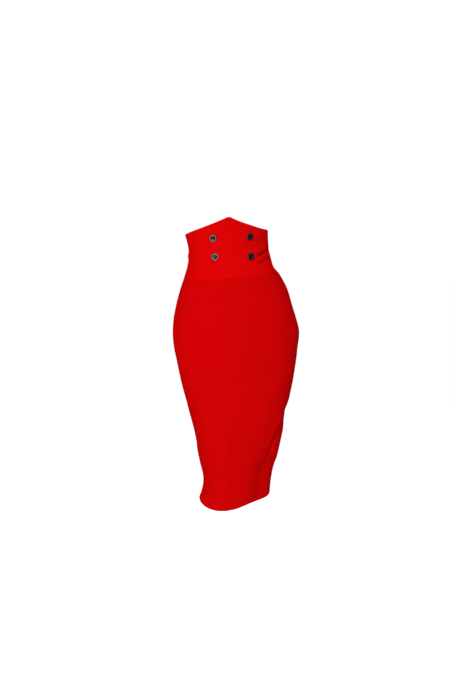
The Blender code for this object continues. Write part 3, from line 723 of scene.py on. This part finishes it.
def stitches(name, centre, material, off=0.0, pitch=STITCH_PITCH, length=STITCH_LENGTH):
    """A row of machine stitches on the outer face, or behind it, along a line of places."""
    angle, level = resample(*centre, pitch)
    angle, level = (angle[1:] + angle[:-1]) / 2, (level[1:] + level[:-1]) / 2
    place = cloth_point(angle, level, off)
    along = unit(np.gradient(place, axis=0))
    side = unit(np.cross(outward(angle, level), along))
    out = np.cross(along, side)
    turn = np.arange(STITCH_SIDES) * math.tau / STITCH_SIDES
    share, height, size = (np.array(column)[:, None] for column in zip(*STITCH_RINGS))
    radius = size * THREAD_RADIUS
    offsets = (share * length + 0 * turn, radius * np.cos(turn), height + radius * np.sin(turn))
    rings = place[:, None, None]
    for direction, offset in zip((along, side, out), offsets):
        rings = rings + direction[:, None, None] * offset[..., None]
    return new_piece(name, tube_mesh(name, rings), material)


# ---------------------------------------------------------------- materials

class Nodes:
    """Short hands for building one procedural material."""

    def __init__(self, name):
        self.material = bpy.data.materials.new(name)
        self.material.use_nodes = True
        self.tree = self.material.node_tree
        self.shader = self.tree.nodes["Principled BSDF"]

    def add(self, kind, **settings):
        node = self.tree.nodes.new(kind)
        for key, value in settings.items():
            setattr(node, key, value)
        return node

    def put(self, socket, value):
        if hasattr(value, "is_output"):
            self.tree.links.new(value, socket)
        else:
            socket.default_value = value

    def fill(self, node, values, output=0):
        for socket, value in zip(node.inputs, values):
            self.put(socket, value)
        return node.outputs[output]

    def maths(self, operation, *values):
        return self.fill(self.add("ShaderNodeMath", operation=operation), values)

    def plus(self, *values):
        return self.maths("ADD", *values)

    def times(self, *values):
        return self.maths("MULTIPLY", *values)

    def uv(self):
        place = self.add("ShaderNodeUVMap", uv_map="cut").outputs["UV"]
        parts = self.add("ShaderNodeSeparateXYZ")
        self.put(parts.inputs[0], place)
        return parts.outputs[0], parts.outputs[1]

    def noise(self, scale, detail=2.0, rough=0.5):
        node = self.add("ShaderNodeTexNoise")
        self.put(node.inputs["Vector"], self.add("ShaderNodeTexCoord").outputs["Object"])
        for key, value in (("Scale", scale), ("Detail", detail), ("Roughness", rough)):
            node.inputs[key].default_value = value
        return node.outputs[0]

    def between(self, value, low, high, out_low, out_high):
        return self.fill(self.add("ShaderNodeMapRange"), (value, low, high, out_low, out_high))

    def mix(self, factor, first, second):
        node = self.add("ShaderNodeMix", data_type="RGBA")
        for at, value in ((0, factor), (6, first), (7, second)):
            self.put(node.inputs[at], value)
        return node.outputs[2]

    def bump(self, height, distance, strength, under=None):
        node = self.add("ShaderNodeBump")
        node.inputs["Strength"].default_value = strength
        node.inputs["Distance"].default_value = distance
        self.put(node.inputs["Height"], height)
        if under is not None:
            self.put(node.inputs["Normal"], under)
        return node.outputs[0]

    def finished(self, **values):
        """The material, with these values or sockets on its shader."""
        for key, value in values.items():
            self.put(self.shader.inputs[key.replace("_", " ")], value)
        return self.material


def toned(colour, share):
    """A colour made darker, or lighter where share is over 1."""
    return tuple(min(c * share, 1) for c in colour[:3]) + (1,)


def slanted_cord(n, along, pitch, across, slant):
    """Height, from 0 to 1, of threads that lie side by side and lean."""
    phase = n.plus(n.times(along, math.tau / pitch), n.times(across, slant))
    return n.plus(n.times(n.maths("SINE", phase), 0.5), 0.5)


def weave(n, pitch):
    """Height of a plain weave over the flat cloth, from 0 to 1, with threads that vary in width."""
    waver = n.times(n.maths("SUBTRACT", n.noise(180.0, 1.0), 0.5), 0.9)
    warp, weft = (n.maths("SINE", n.plus(n.times(run, math.pi / pitch), waver)) for run in n.uv())
    over = n.times(warp, weft)
    up = n.maths("GREATER_THAN", over, 0.0)
    down = n.maths("SUBTRACT", 1.0, up)
    chosen = n.plus(
        n.times(up, n.maths("ABSOLUTE", warp)), n.times(down, n.maths("ABSOLUTE", weft))
    )
    return n.times(n.maths("SQRT", n.maths("ABSOLUTE", over)), n.plus(n.times(chosen, 0.4), 0.6))


def cloth_material(name, colour, dark):
    """Matt suiting: clouds of a deeper red, painted shade between the threads, with a little fuzz.
    """
    n = Nodes(name)
    threads = weave(n, WEAVE_PITCH)
    cloudy = n.noise(14.0, 3.0, 0.55)
    fuzz = n.noise(900.0, 2.0, 0.6)
    base = n.mix(n.between(cloudy, 0.3, 0.7, 0.0, 0.38), colour, dark)
    # painted shade: the colour darkens where the weave is low, between the threads
    base = n.mix(n.between(threads, 0.0, 1.0, 0.42, 0.0), base, toned(dark, 0.55))
    base = n.mix(n.between(fuzz, 0.55, 0.8, 0.0, 0.10), base, toned(colour, 1.5))
    soft = n.bump(n.noise(75.0, 3.0, 0.6), 0.0005, 0.5)
    return n.finished(
        Base_Color=base,
        Roughness=n.between(n.plus(threads, n.times(fuzz, 0.5)), 0.0, 1.5, 0.88, 0.72),
        Specular_IOR_Level=0.0, Sheen_Weight=0.03,
        Sheen_Roughness=0.45, Sheen_Tint=(1.0, 0.01, 0.01, 1.0),
        Normal=n.bump(n.plus(threads, n.times(fuzz, 0.7)), 0.00016, 0.8, soft),
    )


def overlocked_material(name, colour, thread):
    """Cloth of a seam allowance, its raw edges wrapped in thread."""
    n = Nodes(name)
    u, v = n.uv()
    edge = n.between(n.maths("ABSOLUTE", u), ALLOWANCE - 0.0042, ALLOWANCE - 0.0036, 0.0, 1.0)
    cord = n.times(slanted_cord(n, v, 0.0017, u, 900.0), edge)
    fuzz = n.noise(900.0, 2.0, 0.6)
    return n.finished(
        Base_Color=n.mix(n.times(cord, 0.8), colour, thread),
        Roughness=n.between(fuzz, 0.2, 0.8, 0.75, 0.9), Specular_IOR_Level=0.10,
        Sheen_Weight=0.1, Sheen_Tint=(1.0, 0.1, 0.08, 1.0),
        Normal=n.bump(n.plus(cord, n.times(fuzz, 0.4)), 0.00022, 0.9),
    )


def thread_material(name, colour):
    n = Nodes(name)
    twist = n.noise(2600.0, 1.0)
    return n.finished(
        Base_Color=n.mix(twist, colour, toned(colour, 0.6)),
        Roughness=n.between(twist, 0.2, 0.8, 0.52, 0.70), Specular_IOR_Level=0.25,
        Normal=n.bump(twist, 0.00006, 0.7),
    )


def tape_material(name, colour):
    """Herringbone tape, with painted shade in the grooves between its cords."""
    n = Nodes(name)
    u, v = n.uv()
    cord = slanted_cord(n, v, 0.0009, n.maths("PINGPONG", u, 0.0016), 5200.0)
    return n.finished(
        # painted shade: darker where the cords are low
        Base_Color=n.mix(n.times(cord, 0.5), toned(colour, 0.6), colour),
        Roughness=n.between(cord, 0.0, 1.0, 0.85, 0.66), Specular_IOR_Level=0.2,
        Normal=n.bump(cord, 0.00014, 0.8),
    )


def plastic_material(name):
    """Polished black, a little hazy and scratched."""
    n = Nodes(name)
    haze = n.noise(240.0, 3.0, 0.6)
    rubbed = n.plus(haze, n.times(n.noise(1700.0, 2.0, 0.7), 0.35))
    return n.finished(
        Base_Color=n.mix(haze, (0.0012, 0.0012, 0.0014, 1), (0.003, 0.0028, 0.0028, 1)),
        Roughness=n.between(rubbed, 0.4, 1.0, 0.05, 0.10), Specular_IOR_Level=0.33,
        Normal=n.bump(haze, 0.00003, 0.2),
    )


def metal_material(name):
    """Nickel plate, rubbed brighter and cloudier in places."""
    n = Nodes(name)
    rub = n.noise(520.0, 4.0, 0.65)
    scratches = n.noise(2400.0, 2.0, 0.7)
    return n.finished(
        Base_Color=n.mix(rub, (0.44, 0.44, 0.45, 1), (0.66, 0.65, 0.63, 1)), Metallic=1.0,
        Roughness=n.between(n.plus(rub, n.times(scratches, 0.5)), 0.4, 1.2, 0.16, 0.38),
        Normal=n.bump(scratches, 0.00003, 0.4),
    )


def nylon_material(name, colour):
    n = Nodes(name)
    grain = n.noise(1500.0, 2.0)
    return n.finished(
        Base_Color=n.mix(grain, colour, toned(colour, 0.7)),
        Roughness=n.between(grain, 0.3, 0.7, 0.3, 0.45), Specular_IOR_Level=0.45,
        Normal=n.bump(grain, 0.00003, 0.3),
    )


# ---------------------------------------------------------------- cloth

RED = (0.600, 0.0010, 0.0016, 1)
DEEP_RED = (0.550, 0.0008, 0.0014, 1)
# painted light: the band's reds are the suiting made lighter, standing in for the stronger light
# that falls on the band
BAND_RED_PAINTED_LIT = (0.665, 0.0013, 0.0019, 1)
DEEP_BAND_RED_PAINTED_LIT = (0.610, 0.0010, 0.0016, 1)
ALLOWANCE_THREAD_RED = (0.42, 0.004, 0.006, 1)
THREAD_RED = (0.46, 0.003, 0.004, 1)
THREAD_BLACK = (0.012, 0.012, 0.013, 1)
TAPE_RED = (0.50, 0.004, 0.006, 1)
NYLON_RED = (0.46, 0.004, 0.006, 1)
WEAVE_PITCH = 0.00070


def span(start, end, count=400):
    return np.linspace(start, end, count)


def make_cloth(cloth, band_cloth_painted_lit):
    """The six panels.  Each row of the table gives its flat width, length and area as measured
    on the form."""
    def above_seam(angle):
        return band_seam(angle) + SEAM_GAP / 2

    def below_seam(angle):
        return band_seam(angle) - SEAM_GAP / 2

    side, back = side_inset, centre_back_inset
    table = (
        ("skirt_front", -90, 90, (side, side), 0.464, 0.652, 0.2530),
        ("skirt_back_left", 90, 180, (side, back), 0.240, 0.652, 0.1258),
        ("skirt_back_right", 180, 270, (back, side), 0.239, 0.634, 0.1241),
        ("waistband_front", -90, 90, (side, side), 0.376, 0.171, 0.0499),
        ("waistband_back_left", 90, 180, (side, back), 0.181, 0.128, 0.0207),
        ("waistband_back_right", 180, 270, (back, side), 0.194, 0.136, 0.0224),
    )
    made = {}
    for node, start, end, insets, width, length, area in table:
        front = node.endswith("front")
        columns = FRONT_COLUMNS if front else BACK_COLUMNS
        if node.startswith("skirt"):
            rows = SKIRT_ROWS
            edges, material = (hem_edge, below_seam), cloth
            walls = {"wall_at": skirt_wall, "low_rows": HEM_ROWS}
        else:
            rows = BAND_ROWS if front else BAND_BACK_ROWS
            # the band takes the suiting painted lighter, for the light that falls on it
            edges, material = (above_seam, top_edge), band_cloth_painted_lit
            walls = {"wall_at": band_wall, "dense": BAND_DENSE}
        name = "cloth_" + node
        mesh = panel(name, start, end, insets, *edges, columns, rows, **walls)
        obj = new_piece(name, mesh, material)
        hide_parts(node)
        made[node] = (obj, width, length, area)
    return made


def make_allowances(material):
    """Seam allowances pressed open inside the skirt, and the slit's turned-in edges."""
    half = (0.0006, ALLOWANCE * 0.25, ALLOWANCE * 0.6, ALLOWANCE)
    offsets = (*(-x for x in reversed(half)), 0.0, *half)
    sideways, upwards = [(x, 0.0) for x in offsets], [(0.0, y) for y in offsets]
    made = {}

    def press(key, angle, level, across):
        line = (angle + 0 * level, level)
        made[key] = strip("seam_allowance_" + key, line, across, material, ALLOWANCE_GROOVE)

    for side, angle in (("left", 90.0), ("right", -90.0)):
        below = band_seam(angle) - ALLOWANCE - ALLOWANCE_APART
        above = band_seam(angle) + ALLOWANCE + ALLOWANCE_APART
        press("skirt_" + side, angle, span(hem_edge(angle) + ALLOWANCE_CLEAR, below), sideways)
        press("band_" + side, angle, span(above, top_edge(angle) - ALLOWANCE_CLEAR), sideways)
    clear = (ZIP_TAPE_WIDTH + 0.0012) / round_step(180.0, SEAM_BACK)
    ring = span(-180 + clear, 180 - clear, 1500)
    press("waist", ring, band_seam(ring), upwards)
    press("back", 180, span(slit_top() + 0.001, ZIP_END_LEVEL - ALLOWANCE_APART), sideways)
    slit = span(hem_edge(180.0) + ALLOWANCE_CLEAR, slit_top())
    for side, sign in BACK_SIDES:
        edge = beside_back(sign * (centre_back_inset(slit) + 0.0004), slit)
        turned_in = [(sign * x, 0.0) for x in SLIT_TURNING_COLUMNS]
        made["slit_" + side] = strip("slit_turning_" + side, (edge, slit), turned_in, material)
    return made


def across_back(reach, level):
    """A level line across the centre back, that many degrees to each side."""
    return span(180 - reach, 180 + reach), span(level, level)


def make_stitches(thread):
    hems = (("front", -89.4, 89.4), ("back_left", 90.6, 176.6), ("back_right", 183.4, 269.4))
    for name, start, end in hems:
        angle = span(start, end, 700)
        line = (angle, hem_edge(angle) + HEM_STITCHES)
        stitches("stitches_hem_" + name, line, thread, off=HEM_WALL + SEAM_GAP)
    seam = band_seam(180.0)
    parts = (
        ("band", seam + 0.002, top_edge(180.0) - 0.004),
        ("skirt", ZIP_END_LEVEL - 0.004, seam - 0.002),
    )
    for side, sign in BACK_SIDES:
        for part, low, high in parts:
            level = span(low, high)
            line = (beside_back(sign * ZIP_STITCH_OFF, level), level)
            stitches(f"stitches_zip_{part}_{side}", line, thread)
        level = span(hem_edge(180.0) + 0.003, slit_top() + 0.006)
        away = centre_back_inset(level) + SLIT_STITCH_OFF
        stitches("stitches_slit_" + side, (beside_back(sign * away, level), level), thread)
    reach = ZIP_STITCH_OFF / round_step(180.0, ZIP_END_LEVEL)
    stitches("stitches_zip_end", across_back(reach, ZIP_END_LEVEL - ZIP_END_STITCHES), thread)
    level = slit_top() + 0.0015
    reach = SLIT_BAR_HALF / round_step(180.0, level)
    for row in range(SLIT_BARS):
        stitches(
            f"stitches_slit_bar_{row}", across_back(reach, level + row * SLIT_BAR_PITCH), thread,
            off=-0.0001, pitch=0.0018, length=0.0017,
        )


# ---------------------------------------------------------------- buttons

# From the centre of the top round the edge to the centre of the back: share of the radius, height.
BUTTON_PROFILE = (
    (0.00, 0.00165), (0.15, 0.00168), (0.30, 0.00178), (0.42, 0.00192), (0.50, 0.00206),
    (0.54, 0.00220), (0.57, 0.00248), (0.60, 0.00290), (0.625, 0.00322), (0.65, 0.00340),
    (0.68, 0.003475), (0.72, 0.00349), (0.78, 0.00349), (0.84, 0.00349), (0.875, 0.003475),
    (0.905, 0.00338), (0.94, 0.00315), (0.97, 0.00280), (0.99, 0.00235), (1.0, 0.00180),
    (0.99, 0.00122), (0.96, 0.00068), (0.91, 0.00026), (0.85, 0.00005), (0.80, 0.0), (0.0, 0.0),
)
BUTTON_STEPS = 72
BUTTON_DRILL = 0.006  # length of the cutters, longer than the button is thick
BUTTON_SOFTENING = 0.00016  # width of its rounded edges
BUTTON_THREAD_RADIUS = 0.00026
THREAD_APART = 0.00033  # each of a pair from the middle between them
THREAD_OVER = 0.00052  # how far the upper pair rises over the lower one


def button_mesh():
    """The turned body, four holes drilled through it and its edges softened."""
    turns = [math.tau * step / BUTTON_STEPS for step in range(BUTTON_STEPS)]
    shape = bmesh.new()
    rings = []
    for share, height in BUTTON_PROFILE:
        r = share * BUTTON_RADIUS
        round_it = turns if share else turns[:1]
        rings.append([
            shape.verts.new((r * math.cos(t), r * math.sin(t), height)) for t in round_it
        ])
    for upper, lower in zip(rings, rings[1:]):
        for step in range(BUTTON_STEPS):
            corners = ((upper, step), (lower, step), (lower, step + 1), (upper, step + 1))
            shape.faces.new(list(dict.fromkeys(ring[at % len(ring)] for ring, at in corners)))
    drill = bmesh.new()
    for turn in range(4):
        around = Matrix.Rotation(math.radians(45 + 90 * turn), 4, "Z")
        bmesh.ops.create_cone(
            drill, cap_ends=True, segments=28, depth=BUTTON_DRILL,
            radius1=BUTTON_HOLE_RADIUS, radius2=BUTTON_HOLE_RADIUS,
            matrix=around @ Matrix.Translation((BUTTON_HOLE_RING, 0, 0.001)),
        )
    body, cutter = (
        add_object(name, bpy.data.meshes.new(name)) for name in ("button_body", "button_cutter")
    )
    for obj, model in ((body, shape), (cutter, drill)):
        model.to_mesh(obj.data)
        model.free()
    cut = body.modifiers.new("holes", "BOOLEAN")
    cut.operation, cut.object, cut.solver = "DIFFERENCE", cutter, "EXACT"
    soften = body.modifiers.new("soften", "BEVEL")
    soften.width, soften.segments, soften.limit_method = BUTTON_SOFTENING, 3, "ANGLE"
    soften.angle_limit = math.radians(55)
    bpy.context.view_layer.update()
    shown = body.evaluated_get(bpy.context.evaluated_depsgraph_get())
    done = bpy.data.meshes.new_from_object(shown)
    done.name = "button_turned"
    for obj in (body, cutter):
        bpy.data.objects.remove(obj, do_unlink=True)
    done.shade_smooth()
    done.set_sharp_from_angle(angle=math.radians(50))
    return done


def seat_on_cloth(angle, level, radius):
    """Where the solid of a button lies, and how far off the form's middle: clear of every point
    of the solid under it."""
    right, up, out = axes_at(angle, level)
    centre = Vector(cloth_point(angle, level, fine=False))
    metres = float(round_step(angle, level))
    highest = 0.0
    for ring in (0.5, 1.0):
        for turn in range(0, 360, 30):
            reach = Matrix.Rotation(math.radians(turn), 2) @ Vector((ring * radius, 0))
            edge = Vector(cloth_point(angle + reach.x / metres, level + reach.y, fine=False))
            highest = max(highest, (edge - centre).dot(out))
    return laid(centre + out * (highest + SEAM_GAP), (right, up, out)), highest


def thread_cross(depth):
    """Two crossed pairs of threads that dive through the holes to the cloth behind."""
    runs = []
    for turn, lift in ((45, 0.0), (135, THREAD_OVER)):
        along = np.array([math.cos(math.radians(turn)), math.sin(math.radians(turn)), 0.0])
        beside = np.array([-along[1], along[0], 0.0])
        half = (
            (0.0010, 0.00205 + lift * 0.6), (0.0019, 0.0018), (0.00215, 0.0010), (0.0023, -depth),
        )
        whole = (*((-x, z) for x, z in reversed(half)), (0.0, 0.0021 + lift), *half)
        for off in (-THREAD_APART, THREAD_APART):
            line = np.array([along * x + beside * off + (0, 0, z) for x, z in whole])
            runs.append((line, np.broadcast_to(beside, line.shape)))
    return round_tubes("button_thread", runs, BUTTON_THREAD_RADIUS, 7)


def make_buttons(plastic, thread):
    mesh = button_mesh()
    for button in BUTTONS:
        seat, lift = seat_on_cloth(button.angle, button.level, BUTTON_RADIUS)
        copy = mesh.copy()
        copy.transform(seat)
        obj = new_piece("turned_" + button.name, copy, plastic)
        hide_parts(button.name)
        cross = thread_cross(lift + SEAM_GAP + 0.0004)
        cross.transform(seat)
        new_piece("thread_" + button.name, cross, thread)


# ---------------------------------------------------------------- zip

def tape_depth(level):
    into_skirt = np.clip((band_seam(180.0) - SEAM_GAP - level) / ZIP_STEP_RUN, 0.0, 1.0)
    return BAND_WALL + (SKIRT_WALL - BAND_WALL) * into_skirt + SEAM_GAP


def make_tapes(material):
    high = top_edge(180.0) - ZIP_TOP_CLEARANCE
    level = span(ZIP_END_LEVEL, high, 90)
    across = np.array(ZIP_TAPE_COLUMNS)[:, None]
    for side, sign in BACK_SIDES:
        angles = beside_back(sign * (centre_back_inset(level) + across), level)
        levels = level + 0 * angles
        cut = np.stack(np.broadcast_arrays(across, levels), axis=-1)
        name = "woven_zip_tape_" + side
        mesh = layer(name, angles, levels, tape_depth(levels), ZIP_TAPE_THICKNESS, cut)
        obj = new_piece(name, mesh, material)
        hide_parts("zip_tape_" + side)


def make_coil(material):
    """Two nylon coils sewn along the tapes' meeting edges, in mesh."""
    low = ZIP_END_LEVEL + 0.002
    high = float(top_edge(180.0)) - SLIDER_BELOW_TOP - SLIDER_BODY_LENGTH / 2 - 0.0016
    turns = int((high - low) / COIL_PITCH)
    phase = np.arange(turns * COIL_STEPS + 1) / COIL_STEPS * math.tau
    runs = []
    for _, sign in BACK_SIDES:
        level = low + COIL_PITCH * phase / math.tau + (COIL_PITCH / 2 if sign > 0 else 0)
        across = sign * (COIL_REACH * COIL_OFF_EDGE + COIL_REACH * np.cos(phase))
        depth = tape_depth(level) + ZIP_TAPE_THICKNESS + COIL_DEPTH + COIL_WIRE + COIL_CLEAR
        line = cloth_point(beside_back(across, level), level, depth + COIL_DEPTH * np.sin(phase))
        out = outward(180.0 + 0 * level, level)
        runs.append((line, unit(np.cross(unit(np.gradient(line, axis=0)), out))))
    mesh = round_tubes("zip_coil", runs, COIL_WIRE, COIL_SIDES)
    new_piece("zip_coil", mesh, material)


def make_stop(material):
    """The crimped stop at the zip's lower end."""
    shape = bmesh.new()
    bmesh.ops.create_cube(shape, size=1, matrix=Matrix.Diagonal((*STOP_SIZE, 1)))
    bmesh.ops.bevel(shape, geom=shape.edges[:], offset=0.0005, segments=3, affect="EDGES")
    mesh = bpy.data.meshes.new("zip_stop")
    shape.to_mesh(mesh)
    shape.free()
    level = ZIP_END_LEVEL + 0.0008
    right, up, out = axes_at(180.0, level)
    place = Vector(cloth_point(180.0, level, tape_depth(level) + ZIP_TAPE_THICKNESS + 0.0009))
    mesh.transform(laid(place, (right, out, -up)))
    mesh.shade_smooth()
    new_piece("zip_stop", mesh, material)


# ---------------------------------------------------------------- studio

def make_floor():
    """A pale floor whose own faint light keeps it as white as the backdrop."""
    n = Nodes("floor_white")
    seen = n.add("ShaderNodeLightPath").outputs["Is Camera Ray"]
    material = n.finished(
        Base_Color=(0.80, 0.80, 0.80, 1), Roughness=0.9, Specular_IOR_Level=0.1,
        Emission_Color=(1, 1, 1, 1), Emission_Strength=n.times(seen, FLOOR_GLOW),
    )
    ways = ((-1, -1), (1, -1), (1, 1), (-1, 1))
    corners = [(x * FLOOR_REACH, y * FLOOR_REACH, FLOOR_LEVEL) for x, y in ways]
    mesh = mesh_from("floor", corners, [(0, 1, 2, 3)])
    mesh.materials.append(material)
    add_object("floor", mesh)


def make_world():
    """Soft light from all round, seen by the camera as plain white."""
    world = bpy.data.worlds.new("studio")
    bpy.context.scene.world = world
    world.use_nodes = True
    tree = world.node_tree
    light, seen = tree.nodes["Background"], tree.nodes.new("ShaderNodeBackground")
    for node, strength in ((light, ROOM_LIGHT), (seen, WHITE_SEEN)):
        node.inputs["Color"].default_value = (1, 1, 1, 1)
        node.inputs["Strength"].default_value = strength
    kind = tree.nodes.new("ShaderNodeLightPath")
    mix = tree.nodes.new("ShaderNodeMixShader")
    sources = (kind.outputs["Is Camera Ray"], light.outputs[0], seen.outputs[0])
    for source, target in zip(sources, mix.inputs):
        tree.links.new(source, target)
    tree.links.new(mix.outputs[0], tree.nodes["World Output"].inputs[0])


Lamp = namedtuple("Lamp", "name azimuth distance height width tall watts")
LAMPS = (
    Lamp("key", -11, 3.2, 1.00, 1.7, 1.7, 65.0),
    Lamp("glint", -30.5, 3.0, -0.32, 0.18, 2.0, 18.0),
    Lamp("strip", -84, 2.5, 0.15, 0.26, 1.7, 14.0),
    Lamp("fill", 18, 3.0, 2.20, 2.2, 1.2, 16.0),
    Lamp("back_left", 164, 3.2, 0.60, 1.6, 2.0, 26.0),
    Lamp("back_right", 222, 3.4, 0.40, 1.4, 2.0, 18.0),
    Lamp("top", 68, 1.3, 2.50, 1.6, 1.6, 24.0),
)
LAMP_AIM = (0.02, 0.0, -0.20)


def make_lamps():
    aim = Vector(LAMP_AIM)
    for lamp in LAMPS:
        data = bpy.data.lights.new(lamp.name, "AREA")
        data.shape = "RECTANGLE"
        data.size, data.size_y = lamp.width, lamp.tall
        data.energy = lamp.watts
        obj = add_object(lamp.name, data)
        turn = math.radians(lamp.azimuth)
        across, ahead = math.sin(turn), -math.cos(turn)
        obj.location = (lamp.distance * across, lamp.distance * ahead, lamp.height)
        obj.rotation_euler = (aim - obj.location).to_track_quat("-Z", "Y").to_euler()


def make_camera():
    """Level with the waist, a little to the wearer's right, tipped down to the picture's middle."""
    focal = CAMERA_DISTANCE / METRES_A_PIXEL  # in pixels
    data = bpy.data.cameras.new("camera")
    data.sensor_fit = "VERTICAL"
    data.sensor_height = SENSOR
    data.lens = focal * SENSOR / PICTURE_HEIGHT
    data.clip_end = 100
    camera = add_object("camera", data)
    across, ahead = math.sin(CAMERA_AZIMUTH), -math.cos(CAMERA_AZIMUTH)
    camera.location = (CAMERA_DISTANCE * across, CAMERA_DISTANCE * ahead, CAMERA_HEIGHT)
    pitch = math.atan(WAIST_ABOVE_MIDDLE / focal) + math.atan(CAMERA_HEIGHT / CAMERA_DISTANCE)
    heading = CAMERA_AZIMUTH + math.atan(WAIST_RIGHT_OF_MIDDLE / focal)
    camera.rotation_euler = (math.radians(90) - pitch, 0.0, heading)
    bpy.context.scene.camera = camera
    bpy.context.scene.view_settings.view_transform = "Standard"


# ---------------------------------------------------------------- the whole

make_camera()
cloth = cloth_material("red_suiting", RED, DEEP_RED)
# the band's suiting, painted lighter to stand in for the light on the band
band_cloth_painted_lit = cloth_material("red_suiting_painted_lit", BAND_RED_PAINTED_LIT, DEEP_BAND_RED_PAINTED_LIT)
inner_cloth = overlocked_material("red_suiting_allowance", DEEP_RED, ALLOWANCE_THREAD_RED)
metal = metal_material("nickel_plate")

panels = make_cloth(cloth, band_cloth_painted_lit)
allowances = make_allowances(inner_cloth)
make_stitches(thread_material("red_thread", THREAD_RED))
make_buttons(plastic_material("black_plastic"), thread_material("black_thread", THREAD_BLACK))
make_tapes(tape_material("woven_tape", TAPE_RED))
make_coil(nylon_material("red_nylon", NYLON_RED))
make_stop(metal)
for node in ("zip_slider", "zip_pull"):
    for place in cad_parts[node].material_slots:
        place.material = metal

make_floor()
make_world()
make_lamps()
